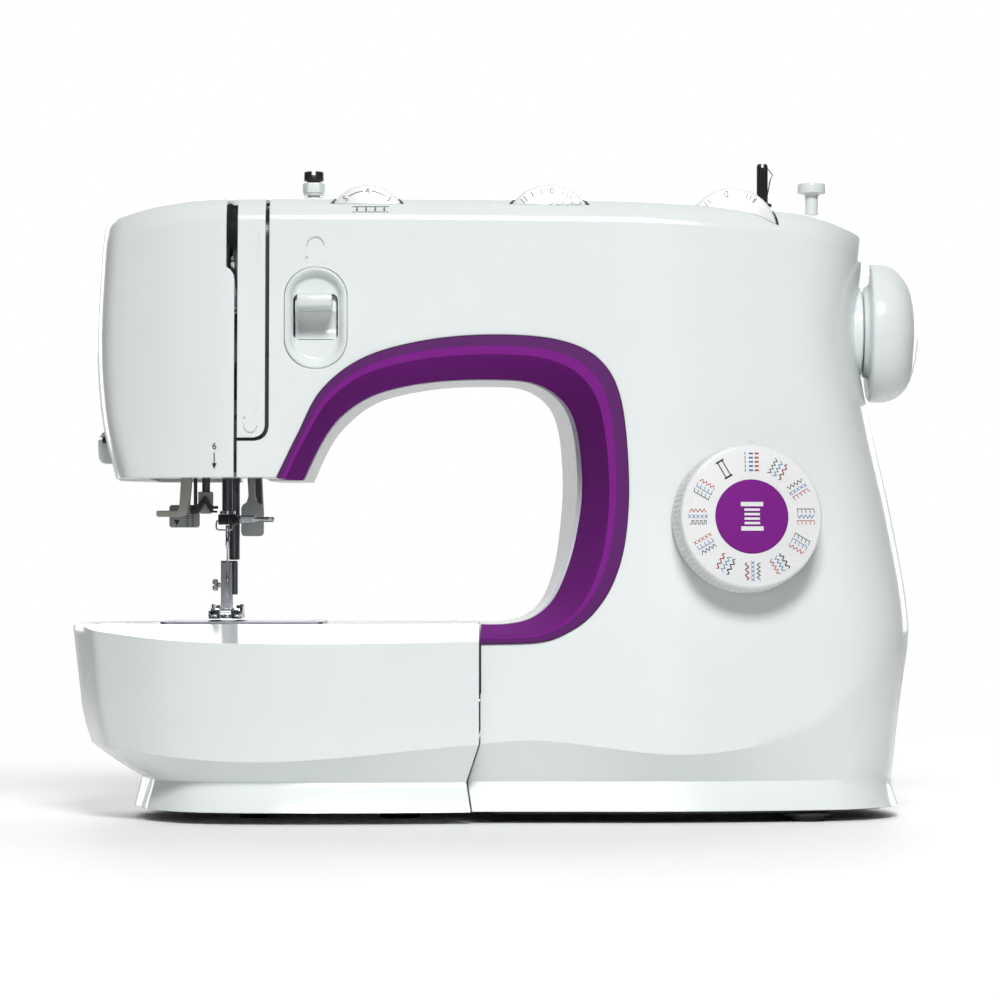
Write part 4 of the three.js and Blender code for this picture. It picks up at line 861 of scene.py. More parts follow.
def arrow(u, v0, v1, head, width):
    """A straight arrow from v0 down to v1."""
    return stroke([(u, v0), (u, v1 + head)], width) + [[(u, v1), (u + head * 0.45, v1 + head),
                                                        (u - head * 0.45, v1 + head)]]


def numeral(text, size, place, turn=0.0, centre=(0, 0), lift=0.18):
    """A numeral as a thin raised mesh on a surface."""
    curve = bpy.data.curves.new("numeral", "FONT")
    curve.body = text
    curve.size = size
    curve.align_x = curve.align_y = "CENTER"
    curve.extrude = 0.2
    holder = bpy.data.objects.new("numeral", curve)
    bpy.context.scene.collection.objects.link(holder)
    graph = bpy.context.evaluated_depsgraph_get()
    graph.update()
    mesh = bpy.data.meshes.new_from_object(holder.evaluated_get(graph), depsgraph=graph)
    bpy.data.objects.remove(holder)
    c, s = math.cos(turn), math.sin(turn)
    for vert in mesh.vertices:
        u, v, h = vert.co
        vert.co = place(centre[0] + c * u - s * v, centre[1] + s * u + c * v, lift if h > 0 else -0.3)
    obj = bpy.data.objects.new("numeral", mesh)
    bpy.context.scene.collection.objects.link(obj)
    return obj


def merged(objects):
    """Several meshes as one."""
    work = bmesh.new()
    for obj in objects:
        work.from_mesh(obj.data)
        bpy.data.objects.remove(obj)
    mesh = bpy.data.meshes.new("merged")
    work.to_mesh(mesh)
    work.free()
    obj = bpy.data.objects.new("merged", mesh)
    bpy.context.scene.collection.objects.link(obj)
    return obj


def on_front(x, z, h):
    """The point h in front of the front skin."""
    return x, SPLIT_Y - float(front_depth(np.float64(x), np.float64(z))) - h, z


def make_front_marks():
    u_turn = [(-87.2, 260.5)] + [(-87.2, 266.5)]
    u_turn += [(-83.3 - 3.9 * math.cos(math.pi * i / 12),
                266.5 + 3.9 * math.sin(math.pi * i / 12)) for i in range(1, 13)]
    u_turn.append((-79.4, 258.7))
    outlines = stroke(u_turn, 0.75) + [[(-87.2, 258.2), (-85.9, 261.4), (-88.5, 261.4)]]
    piece(prism(outlines, on_front, 0.3), "lever_symbol", "machine", "shell_small")
    low_turn = [(-110.2, 187.8), (-110.2, 182.6)]
    low_turn += [(-113.0 + 2.8 * math.cos(math.pi * i / 10),
                  182.6 - 2.8 * math.sin(math.pi * i / 10)) for i in range(1, 11)]
    low_turn.append((-115.8, 187.0))
    guide = stroke(low_turn, 0.6) + [[(-115.8, 188.6), (-116.9, 186.2), (-114.7, 186.2)]]
    guide += arrow(-109.4, 265.5, 259.0, 2.2, 0.5)
    piece(merged([prism(guide, on_front, 0.28), numeral("3", 4.2, on_front, centre=(-109.4, 269.5),
                                                        lift=0.28),
                  numeral("2", 3.6, on_front, centre=(-110.2, 191.2), lift=0.28)]), "thread_path_symbols",
          "machine", "shell_small")
    piece(merged([numeral("6", 4.4, on_front, centre=(-129.6, 173.4)),
                  prism(arrow(-129.6, 170.2, 163.0, 2.6, 0.45), on_front)]),
          "needle_thread_mark", "machine", "ink")
    scale = stroke([(-66.2, 284.6), (-49.6, 284.6)], 0.25) + stroke([(-66.2, 282.1), (-49.6, 282.1)], 0.25)
    for i in range(4):
        u = -64.2 + i * 4.2
        scale += arrow(u, 284.4, 282.2, 1.2, 0.45)
    piece(prism(scale, on_front), "tension_scale", "machine", "ink")
    wave = [(25 + i * 2.1, 285.4 + (1.5 if i % 2 else 0)) for i in range(8)]
    piece(prism(stroke(wave, 0.4), on_front), "width_scale", "machine", "grey_mark")
    dot = circle(118, 176.3, 0.9, 20)
    piece(prism([dot], on_front, 0.5), "pattern_index", "machine", "shell_small")


# ------------------------------------------------------------------ dials and controls
def make_top_dials():
    marks = {"tension_dial": (("5", 42), ("4", 0), ("3", -42)),
             "width_dial": (("2", 62), ("1", 26), ("0", -4)),
             "length_dial": (("3", 58), ("2", 8), ("1", -36))}
    ribs = {"tension_dial": 90, "width_dial": 120, "length_dial": 100}
    for name, (at, radius) in TOP_DIALS.items():
        count = ribs[name]

        def knurl(a, r, along, count=count, radius=radius):
            return -0.35 * (0.5 + 0.5 * math.cos(count * a)) if r > radius - 0.6 and abs(along) < 2.4 else 0

        profile = [(0, -3), (radius - 1.3, -3), (radius - 1.0, -2.9), (radius - 0.35, -2.3),
                   (radius - 0.05, -1.7), (radius, -1.2), (radius, 2.5), (radius - 0.4, 3), (4, 3), (4, 11),
                   (0, 11)]
        wheel = turn_to(lathe("y", profile, sides=count * 4, ripple=knurl), at, (DIAL_TILT, 0, 0))
        body = name.split("_")[0]
        piece(wheel, name + "_wheel", body, "dial_white", name)
        frame_turn = Matrix.Translation(at) @ Euler((math.radians(DIAL_TILT), 0, 0)).to_matrix().to_4x4()

        def face(u, v, h, frame_turn=frame_turn):
            return tuple(frame_turn @ Vector((u, -3 - h, v)))

        ring = radius - 3.4
        printed = []
        for text, angle in marks[name]:
            a = math.radians(angle)
            printed.append(numeral(text, 3.9, face, a, (-ring * math.sin(a), ring * math.cos(a)), 0.12))
        arcs = []
        if name == "tension_dial":
            for low, high in ((8, 34), (-34, -8)):
                arc = [(-ring * math.sin(math.radians(t)), ring * math.cos(math.radians(t)))
                       for t in np.linspace(low, high, 10)]
                arcs += stroke(arc, 0.35)
        else:
            for t in (-22, -28, -34, 44, 38, 12):
                a = math.radians(t)
                arcs += stroke([(-(ring - 1.1) * math.sin(a), (ring - 1.1) * math.cos(a)),
                                (-(ring + 1.3) * math.sin(a), (ring + 1.3) * math.cos(a))], 0.3)
        printed.append(prism(arcs, face, 0.12))
        piece(merged(printed), name + "_figures", body, "ink")


def symbol_line(kind, length):
    """One stitch line along v as strokes: (points, width) pairs."""
    half = length / 2
    steps = 8
    rows = [-half + length * i / steps for i in range(steps + 1)]
    if kind == "zigzag":
        return [([(0.75 if i % 2 else -0.75, v) for i, v in enumerate(rows)], 0.32)]
    if kind == "dash":
        return [([(0, v - 0.5), (0, v + 0.5)], 0.34) for v in rows[::2]]
    if kind == "box":
        return [([(-0.55, v), (0.55, v)], 0.8) for v in rows[::2]]
    if kind == "wave":
        return [([(0.7 * math.sin(TAU * i / 10), -half + length * i / 30) for i in range(31)], 0.45)]
    if kind == "comb":
        lines = [([(-0.8, -half), (-0.8, half)], 0.28)]
        return lines + [([(-0.8, v), (0.9, v + 0.3)], 0.28) for v in rows[::2]]
    if kind == "cross":
        lines = [([(0.7, v - 0.6), (-0.7, v + 0.6)], 0.26) for v in rows[::2]]
        return lines + [([(-0.7, v - 0.6), (0.7, v + 0.6)], 0.26) for v in rows[::2]]
    square = [(-0.8, -half)]
    for i, v in enumerate(rows[1:]):
        side = 0.8 if i % 2 == 0 else -0.8
        square += [(side, square[-1][1]), (side, v)]
    return [(square, 0.28)]


PATTERN_SYMBOLS = [("dash", "box", "box"), ("zigzag", "zigzag", "wave"), ("zigzag", "cross", "comb"),
                   ("comb", "zigzag", "comb"), ("comb", "comb", "zigzag"), ("wave", "zigzag", "zigzag"),
                   ("zigzag", "cross", "wave"), ("wave", "zigzag", "wave"), ("zigzag", "comb", "cross"),
                   ("square", "cross", "zigzag"), ("comb", "comb", "zigzag"), None]


def make_pattern_dial():
    r, h = PATTERN_R, PATTERN_H
    count = 84

    def knurl(a, radius, along):
        fade = max(0.0, 1 - abs((along + 0.5 * h) / (0.42 * h)) ** 4)
        return -0.55 * fade * (0.5 + 0.5 * math.cos(count * a)) if radius > r - 0.9 else 0

    profile = [(0, -h), (r - 2.3, -h), (r - 1.9, -h + 0.1), (r - 1.5, -h + 0.35), (r - 1.1, -h + 0.9),
               (r - 0.8, -h + 2.0), (r - 0.6, -h + 3)]
    profile += [(r - 0.6 + 0.6 * t, -h + 3 + (h - 4) * t) for t in np.linspace(0.1, 1, 10)]
    profile += [(r - 0.3, -0.3), (r - 1, 0), (4.5, 0), (4.5, 9), (0, 9)]
    dial = turn_to(lathe("y", profile, sides=count * 4, ripple=knurl), PATTERN_AT, PATTERN_TURN)
    piece(dial, "pattern_wheel", "pattern", "dial_white", "pattern_dial")
    tilt = Euler([math.radians(a) for a in PATTERN_TURN]).to_matrix().to_4x4()
    matrix = Matrix.Translation(PATTERN_AT) @ tilt

    def face(u, v, lift):
        return tuple(matrix @ Vector((u, -h - lift, v)))

    disc = lathe("y", [(0, -h - 0.75), (BADGE_R - 1.2, -h - 0.75), (BADGE_R - 0.4, -h - 0.55),
                       (BADGE_R, -h - 0.2), (BADGE_R + 0.1, -h + 0.2), (0, -h + 0.2)], sides=128)
    piece(turn_to(disc, PATTERN_AT, PATTERN_TURN), "pattern_badge", "pattern", "purple", "pattern_dial")
    spool = [[(-5.2, v + 2), (-5.2, v), (5.2, v), (5.2, v + 2)] for v in (4.6, -6.6)]
    for i in range(4):
        v = 3.6 - i * 2.05
        spool.append([(-3.6, v), (-3.6, v - 1.1), (3.6, v - 1.1), (3.6, v)])
    piece(prism(spool, lambda u, v, lift: face(u, v, lift + 0.75), 0.12), "spool_sign", "pattern",
          "dial_white")
    inks = {"ink": [], "ink_blue": [], "ink_red": []}
    for k, kinds in enumerate(PATTERN_SYMBOLS):
        a = math.radians(30 * k)
        out, along = (math.sin(a), math.cos(a)), (math.cos(a), -math.sin(a))

        def at(u, v, a=a, out=out, along=along):
            return (out[0] * (SIGN_R + v) + along[0] * u, out[1] * (SIGN_R + v) + along[1] * u)

        if kinds is None:
            ladder = [([(-1.2, -4), (-1.2, 4)], 0.45), ([(1.2, -4), (1.2, 4)], 0.45)]
            ladder += [([(-1.6, v), (1.6, v)], 0.8) for v in (-4, 4)]
            for points, width in ladder:
                inks["ink"] += stroke([at(u, v) for u, v in points], width)
            continue
        for kind, finish_name, offset in zip(kinds, ("ink", "ink_blue", "ink_red"), (-2.7, 0.0, 2.7)):
            for points, width in symbol_line(kind, 7.7):
                inks[finish_name] += stroke([at(u + offset, v) for u, v in points], width)
    for finish_name, outlines in inks.items():
        piece(prism(outlines, face, 0.1), "stitch_signs_" + finish_name, "pattern", finish_name)


def make_handwheel():
    profile = [(0, 173.9), (20.6, 173.9), (21.4, 174.3), (22.2, 175.6), (23.4, 176.4), (30.6, 176.4),
               (32.2, 176.7), (33.1, 177.4), (33.4, 178.4), (33.5, 181), (33.3, 184.2), (32.7, 187),
               (31.5, 189.8), (29.7, 192.2), (27.2, 194.5), (24, 196.3), (20, 197.7), (15, 198.9),
               (9, 199.9), (4, 200.3), (0, 200.38)]
    wheel = lathe("x", profile, (0, SPLIT_Y, SHAFT_Z), 160)
    dent = lathe("x", [(0, 197.2), (4.8, 197.2), (6.2, 197.8), (7.4, 199.6), (8, 203), (0, 203)],
                 (0, SPLIT_Y + 17.5, SHAFT_Z), 64)
    piece(boolean(wheel, [dent]), "handwheel_shell", "wheel", "shell", "handwheel")
    boss = lathe("x", [(7.5, 165), (21.5, 165), (21.5, 172.4), (21, 173), (20, 173.3), (7.5, 173.3),
                       (7.5, 165)], (0, SPLIT_Y, SHAFT_Z), 96)
    piece(boss, "wheel_boss", "machine", "shell_small")


def make_reverse_lever():
    (x0, x1), (z0, z1) = BEZEL_X, BEZEL_Z
    rings = []
    for inset, y in ((-0.2, -50.5), (-0.2, -56.4), (0.2, -56.9), (0.9, -57.0), (1.7, -56.6), (2.5, -55.6),
                     (3.2, -54.2),
                     (3.8, -53.2), (4.6, -52.7), (5.6, -52.6)):
        rings.append((rounded((x0 + inset, x1 - inset), (z0 + inset, z1 - inset), max(14 - inset, 4), 20),
                      y))
    bezel = funnel(rings)
    gate = swept("y", rounded((-93.7, -73), (222.8, 244.1), 3, 8), -60, -40)
    piece(boolean(bezel, [gate]), "lever_surround", "machine", "shell_small", "lever_bezel")
    nub = [(-48, 243.4), (-57, 243.9), (-62, 244), (-64.6, 243.7), (-66, 242.8), (-66.7, 241.2),
           (-66.6, 239.4), (-65.9, 238), (-64.2, 237.2), (-61, 236.8), (-48, 236.4)]
    plate = [(-49, 243.4), (-50, 236), (-48, 233), (-47.4, 229), (-48.2, 225.6), (-50.4, 223.2),
             (-47.8, 223.2), (-45.6, 226), (-45, 230), (-45.6, 234), (-31, 233), (-29, 240), (-45, 243)]
    paddle = boolean(swept("x", nub, -91.2, -75.5), [swept("x", plate, -92.9, -73.8)], "UNION")
    arm = cylinder("x", 4, -96, -71, (0, -28, 236), 48)
    paddle = boolean(paddle, [arm], "UNION")
    piece(soften(paddle, 0.9, 3), "reverse_paddle", "reverse", "shell_small", "reverse_lever")


# ------------------------------------------------------------------ needle, foot and threader
def round_bar(node, at, radius=2.6):
    """A straight steel bar as tall as its node, with broken edges."""
    low, high = mm(node)
    profile = [(0, low[2]), (radius - 0.4, low[2]), (radius, low[2] + 0.4), (radius, high[2] - 0.6),
               (radius - 0.6, high[2]), (0, high[2])]
    return lathe("z", profile, at, 48)


def grip_ribs(count, depth, from_radius):
    """A ripple that gives the head of a turned screw its ribs."""
    def ripple(angle, radius, _):
        return -depth * (0.5 + 0.5 * math.cos(count * angle)) if radius > from_radius else 0

    return ripple


def make_needle():
    at = (NEEDLE_X, SPLIT_Y, 0)
    piece(round_bar("needle_bar", at), "needle_bar_rod", "needle_bar", "dark_steel", "needle_bar")
    low, high = mm("needle_clamp")
    clamp = lathe("z", [(0, low[2]), (4.5, low[2]), (5.0, low[2] + 0.3), (5.2, low[2] + 0.8),
                        (5.2, high[2] - 0.7), (5.0, high[2] - 0.3), (4.5, high[2]), (0, high[2])], at, 64)
    clamp = boolean(clamp, [box((NEEDLE_X - 0.35, NEEDLE_X + 0.35), (-3, 2), (130, 150)),
                            box((NEEDLE_X - 7, NEEDLE_X - 4.3), (-3, 12), (130, 150))])
    piece(soften(clamp, 0.2), "clamp_block", "needle_bar", "black", "needle_clamp")
    collar = lathe("z", [(2.7, 142.7), (3.9, 142.7), (3.9, 144.2), (2.7, 144.2), (2.7, 142.7)], at, 48)
    piece(collar, "clamp_collar", "needle_bar", "chrome")
    wire = [(-132.2, 2.6, 139.6), (-132.6, 1.2, 138.4), (-132.6, -0.4, 136.6), (-132.3, -1.1, 135.6),
            (-131.2, -1.4, 135.2), (-128.5, -1.5, 135.1), (-125.6, -1.4, 135.2), (-124.9, -0.8, 136.0),
            (-124.9, 0.4, 137.4)]
    piece(tube(wire, 0.4, 12), "thread_guide_wire", "needle_bar", "chrome")
    low, high = mm("needle")
    tip, top = low[2], high[2]
    needle = lathe("z", [(0, tip), (0.12, tip + 0.7), (0.3, tip + 1.8), (0.42, tip + 3.2),
                         (0.45, tip + 16.6), (0.62, tip + 17.3), (0.98, tip + 18.4), (1.0, top - 0.4),
                         (0.8, top), (0, top)], at, 32)
    eye = swept("y", rounded((NEEDLE_X - 0.17, NEEDLE_X + 0.17), (tip + 3.4, tip + 5.0), 0.16, 5), 0, 10)
    groove = box((NEEDLE_X - 0.1, NEEDLE_X + 0.1), (4.3, 4.68), (tip + 4.6, tip + 17))
    piece(boolean(needle, [eye, groove]), "needle_blade", "needle_bar", "chrome", "needle")
    low, high = mm("clamp_screw")
    x0, x1 = low[0], high[0]
    profile = [(0, x0), (1.6, x0), (1.85, x0 + 0.3), (1.9, x0 + 0.7)]
    profile += [(1.9, x) for x in np.linspace(x0 + 1, x0 + 6.8, 8)]
    profile += [(1.7, x0 + 7.4), (1.1, x0 + 7.6), (1.1, x1 - 4.6), (1.3, x1 - 4.3), (1.3, x1 - 0.8),
                (1.0, x1 - 0.2), (0, x1)]
    screw = lathe("x", profile, (0, SPLIT_Y, CLAMP_SCREW_Z), 80, ripple=grip_ribs(20, 0.12, 1.7))
    piece(screw, "clamp_screw_turned", "clamp_screw", "chrome", "clamp_screw")


def make_presser():
    piece(round_bar("presser_bar", (PRESSER_X, PRESSER_Y, 0)), "presser_rod", "presser", "dark_steel",
          "presser_bar")
    shank = swept("x", [(10.6, 98.4), (11, 97.6), (11.8, 97.2), (16.4, 97.2), (17, 97.8), (17, 104),
                        (18.4, 104.2), (19, 105), (19, 119.6), (18, 120.6), (11.6, 120.6), (10.6, 119.6)],
                  -131, -125.6)
    shank = boolean(shank, [swept("x", rounded((12.8, 16.4), (98.6, 101.2), 1.2, 6), -132, -123),
                            box((-128.3, -127.1), (9, 11.4), (104, 125))])
    piece(soften(shank, 0.4), "foot_shank", "presser", "light_steel", "foot_holder")
    clamp_bar = swept("x", rounded((12.2, 17.8), (104.4, 120.6), 0.8, 5), -125.7, -123.2)
    piece(soften(clamp_bar, 0.6, 3), "shank_rail", "presser", "dark_steel", "foot_holder")
    low, high = mm("foot_thumb_screw")
    x0, x1 = low[0], high[0]
    profile = [(0, x0), (2.3, x0), (2.6, x0 + 0.3)]
    profile += [(2.75, x) for x in np.linspace(x0 + 0.5, x0 + 2.2, 5)]
    profile += [(2.4, x0 + 2.5), (1.2, x0 + 2.7), (1.2, x1), (0, x1)]
    screw = boolean(lathe("x", profile, (0, FOOT_PIN_Y, FOOT_SCREW_Z), 96, ripple=grip_ribs(24, 0.22, 2.5)),
                    [box((x0 - 1, x0 + 0.9), (10, 18), (FOOT_SCREW_Z - 0.35, FOOT_SCREW_Z + 0.35))])
    piece(screw, "thumb_screw_turned", "thumb_screw", "steel", "foot_thumb_screw")
    lower = [(-14.0, 97.6), (-13.2, 96.6), (-12.2, 95.6), (-11, 94.6), (-9.8, 93.8), (-8.4, 93.35),
             (-7, 93.2), (20, 93.2)]
    upper = [(20, 94.6), (19.5, 95), (-6, 95), (-8.4, 95.3), (-9.8, 95.9), (-11, 96.7), (-12, 97.5),
             (-12.8, 98.2), (-13.6, 98.3)]
    sole = swept("x", lower + upper, -135.6, -120.1)
    gap = swept("z", rounded((-130.2, -124.8), (-24, 8.5), 2.5, 8), 80, 110)
    corner = [box((-136, -134.4), (-20, -11.5), (90, 100)), box((-121.3, -119), (-20, -11.5), (90, 100))]
    sole = soften(boolean(sole, [gap, *corner]), 0.25)
    lug = [(10.8, 94.6), (17.2, 94.6), (17.2, 96.6), (16.2, 98.6), (14, 99.7), (11.8, 98.6), (10.8, 96.6)]
    lugs = [soften(swept("x", lug, *x), 0.3) for x in ((-133.5, -131.4), (-123.7, -121.6))]
    pin = cylinder("x", 0.8, -133.8, -121.3, (0, FOOT_PIN_Y, FOOT_PIN_Z), 24)
    wing = [(2, 94.8), (19.4, 94.8), (19.4, 98.6), (17.6, 100), (10.6, 100), (8, 98.2), (4, 96)]
    wings = [soften(swept("x", wing, *x), 0.3) for x in ((-135.4, -133.9), (-121.7, -120.3))]
    piece(merged([sole, *lugs, *wings, pin]), "zigzag_foot", "foot", "chrome", "presser_foot")
    hub = lathe("x", [(0, -120), (4.2, -120), (4.5, -119.6), (4.5, -113.4), (4.2, -113), (0, -113)],
                (0, LIFTER_Y, LIFTER_Z), 48)
    arm = soften(swept("x", [(27.5, 167), (33, 172), (48, 161), (62, 146), (64, 143), (63.4, 140.6),
                             (61, 139.4), (58, 139.8), (54, 143), (42, 156)], -119.9, -113.1), 0.8, 3)
    piece(merged([hub, arm]), "lifter_lever", "lifter", "black", "presser_lifter")
    hub = cylinder("x", 4, -122.6, -121, (0, TAKE_UP_Y, TAKE_UP_Z), 48)
    arm = swept("x", [(-19, 237), (-16.5, 243), (-30, 252.4), (-47, 262), (-50.2, 261.8), (-52, 259.8),
                      (-51.6, 257.2), (-49.5, 254.5), (-34, 246.4)], -122.6, -121)
    eye = cylinder("x", 1.5, -130, -110, (0, -48.3, 258.2), 32)
    arm = soften(boolean(boolean(arm, [hub], "UNION"), [eye]), 0.3)
    piece(arm, "take_up_arm", "take_up", "chrome", "take_up_lever")


def make_threader():
    stem = [(-148.8, 200), (-148.8, 158), (-149.6, 146), (-150.4, 144.3), (-159.8, 144.3), (-160.4, 143.8),
            (-160.4, 141.9), (-159.8, 141.3), (-149.6, 141.3), (-146.2, 142.2), (-144.6, 146), (-143.7, 156),
            (-143.7, 200)]
    lever = swept("y", stem[::-1], -8.2, -3.8)
    piece(soften(lever, 0.5, 3), "threader_handle", "threader", "beige", "threader_lever")
    rod = cylinder("z", 1.9, 148, 205, (THREADER_X, -4, 0), 32)
    block = soften(swept("y", [(-140.6, 153.2), (-140.6, 145.2), (-139.6, 142.8), (-134.8, 142.8),
                               (-133.8, 145.2), (-133.8, 153.2)], -8.6, -1.2), 0.5, 3)
    plate = soften(swept("y", rounded((-154.6, -140.2), (136.3, 147), 1.4, 6), PLATE_FRONT_Y, -1.9), 0.25)
    bridge = soften(box((-144.5, -138), (PLATE_FRONT_Y, -1.4), (144.4, 147)), 0.3)
    link = cylinder("z", 0.9, 146, 200, (-142.2, -2.4, 0), 24)
    piece(merged([rod, link]), "threader_rods", "threader_head", "dark_steel", "threader_head")
    piece(merged([block, bridge]), "threader_block", "threader_head", "grey_plastic", "threader_head")
    piece(plate, "threader_plate", "threader_head", "grey_plastic", "threader_head")
    hook = [(-144.2, 146.6), (-140.8, 147.2), (-139.2, 149), (-137.6, 151), (-136.6, 151), (-135.4, 149.2),
            (-133.6, 145.6), (-133.2, 143.4), (-134.4, 143.2), (-136.2, 146), (-137.1, 147.6), (-138, 146.4),
            (-139.6, 143.6), (-141, 142.8), (-144.2, 142.8)]
    arms = [swept("y", hook, -10.6, -8.9), box((-134.6, -133.2), (-16.8, -9), (143.2, 146.6)),
            box((-133.6, -130.6), (-16.8, -15.4), (145, 146.4)),
            box((-133.6, -131), (-16.8, -15.4), (143.2, 144.2))]
    piece(merged([soften(arm, 0.2) for arm in arms]), "threader_hook", "threader_head", "black")

    def on_plate(u, v, h):
        return u, PLATE_FRONT_Y - h, v

    marks = [[(-152.4, 139.9), (-149.6, 139.9), (-151, 137.2)]]
    for i in range(6):
        z = 137.2 + i * 1.1
        marks += stroke([(-146.4, z), (-145.5, z)], 0.42) + stroke([(-143.9, z), (-143, z)], 0.42)
    piece(prism(marks, on_plate, 0.08), "threader_marks", "threader_head", "ink")
    neck = [(-118.4, 185), (-118.4, 152), (-119.4, 148.6), (-121.2, 147.4), (-122, 145.8), (-122, 134),
            (-121.5, 132.8), (-120.3, 132.3), (-112.8, 132.3), (-111.6, 132.8), (-111.1, 134),
            (-111.1, 145.8), (-112, 147.4), (-114.2, 148.6), (-115.2, 152), (-115.2, 185)]
    paddle = soften(swept("y", neck[::-1], 22, 23.6), 0.3)
    piece(paddle, "buttonhole_paddle", "buttonhole", "pale_plastic", "buttonhole_lever")


# ------------------------------------------------------------------ top and side fittings
def make_top_fittings():
    at = GUIDE_POST
    stem = lathe("z", [(0, 284), (3, 284), (3, 292.8), (4.6, 292.8), (5.2, 293.1), (5.2, 293.6),
                       (3.4, 293.7), (3.4, 294), (0, 294)], at, 48)
    hexagon = circle(at[0], at[1], 5.4, 6)
    nut = soften(swept("z", hexagon, 293.9, 298.8), 0.5, 3)
    piece(merged([stem, nut]), "guide_nut", "machine", "shell_small", "thread_guide_post")
    cap = lathe("z", [(0, 299), (3.2, 299), (3.2, 299.5), (4.4, 299.6), (4.7, 300), (4.7, 303.6), (4.4, 304),
                      (3.6, 304.2), (0, 304.2)], at, 64)
    cap = boolean(cap, [box((at[0] - 0.9, at[0] + 0.9), (-20, 0), (302.3, 310)),
                        box((-95, -75), (at[1] - 0.9, at[1] + 0.9), (302.9, 310))])
    piece(soften(cap, 0.2), "guide_cap_notched", "machine", "black", "guide_cap")
    stop = lathe("z", [(0, 284.9), (3.2, 284.9), (3.2, 293.6), (3.9, 294.6), (6.2, 294.9), (6.8, 295.3),
                       (6.9, 295.9), (6.9, 299), (6.7, 299.6), (6.2, 299.9), (0, 299.9)],
                 (WINDER_STOP_X, SPLIT_Y, 0), 72)
    piece(stop, "winder_stop_disc", "machine", "shell_small", "winder_stop")

    def spline(angle, radius, along):
        return -0.45 * (0.5 + 0.5 * math.cos(8 * angle)) ** 2 if along > 291 and radius > 2 else 0

    profile = [(0, 271.4), (2.4, 271.4), (2.4, 288.6), (4.4, 288.6), (4.6, 288.9), (4.6, 289.8),
               (4.2, 290.2), (2.75, 290.6)]
    profile += [(2.75, z) for z in np.linspace(291.5, 307.6, 6)] + [(2.5, 308.6), (2.1, 309), (0, 309)]
    spindle = lathe("z", profile, (WINDER_X, SPLIT_Y, 0), 96, ripple=spline)
    notch = box((WINDER_X - 0.5, WINDER_X + 0.5), (-10, 20), (307.2, 312))
    piece(boolean(spindle, [notch]), "winder_shaft", "winder_spindle", "black", "winder_spindle")
    spring = [(129.0, 4.2, 292.5), (129.4, 3.4, 296), (130.2, 2.8, 301), (131.3, 2.6, 303.6),
              (130.0, 2.8, 305.6), (129.0, 3.4, 307)]
    piece(tube(spring, 0.3, 10), "winder_spring", "winder_spindle", "chrome")
    for side, x in (("left", SPOOL_X[0]), ("right", SPOOL_X[1])):
        name = "spool_pin_" + side
        low, high = mm(name)
        rest = high[2] - 2.2
        pin = lathe("z", [(0, low[2]), (2.2, low[2]), (2.5, low[2] + 0.4), (2.5, rest), (5.8, rest),
                          (6, rest + 0.2), (6, rest + 1.3), (5.7, rest + 1.9), (5, high[2]), (0, high[2])],
                    (x, SPOOL_Y, 0), 48)
        piece(pin, name + "_turned", "spool_" + side, "shell_small", name)
    grip = [(-60, 15.6), (-48, 15.6), (-48, 42), (-47.3, 44), (-46, 45.3), (-44, 46), (36, 46), (38, 45.3),
            (39.3, 44), (40, 42), (40, 15.6), (52, 15.6), (52, 50), (51.2, 53), (49, 55.2), (46, 56),
            (-54, 56), (-57, 55.2), (-59.2, 53), (-60, 50)]
    piece(soften(swept("z", grip, 283.5, 290.5), 1.4, 3), "grip_handle", "handle", "shell_small",
          "carrying_handle")
    low, high = mm("winder_carriage")
    block = soften(box(*zip(low, high)), 0.4)
    piece(block, "winder_block", "winder_carriage", "steel", "winder_carriage")


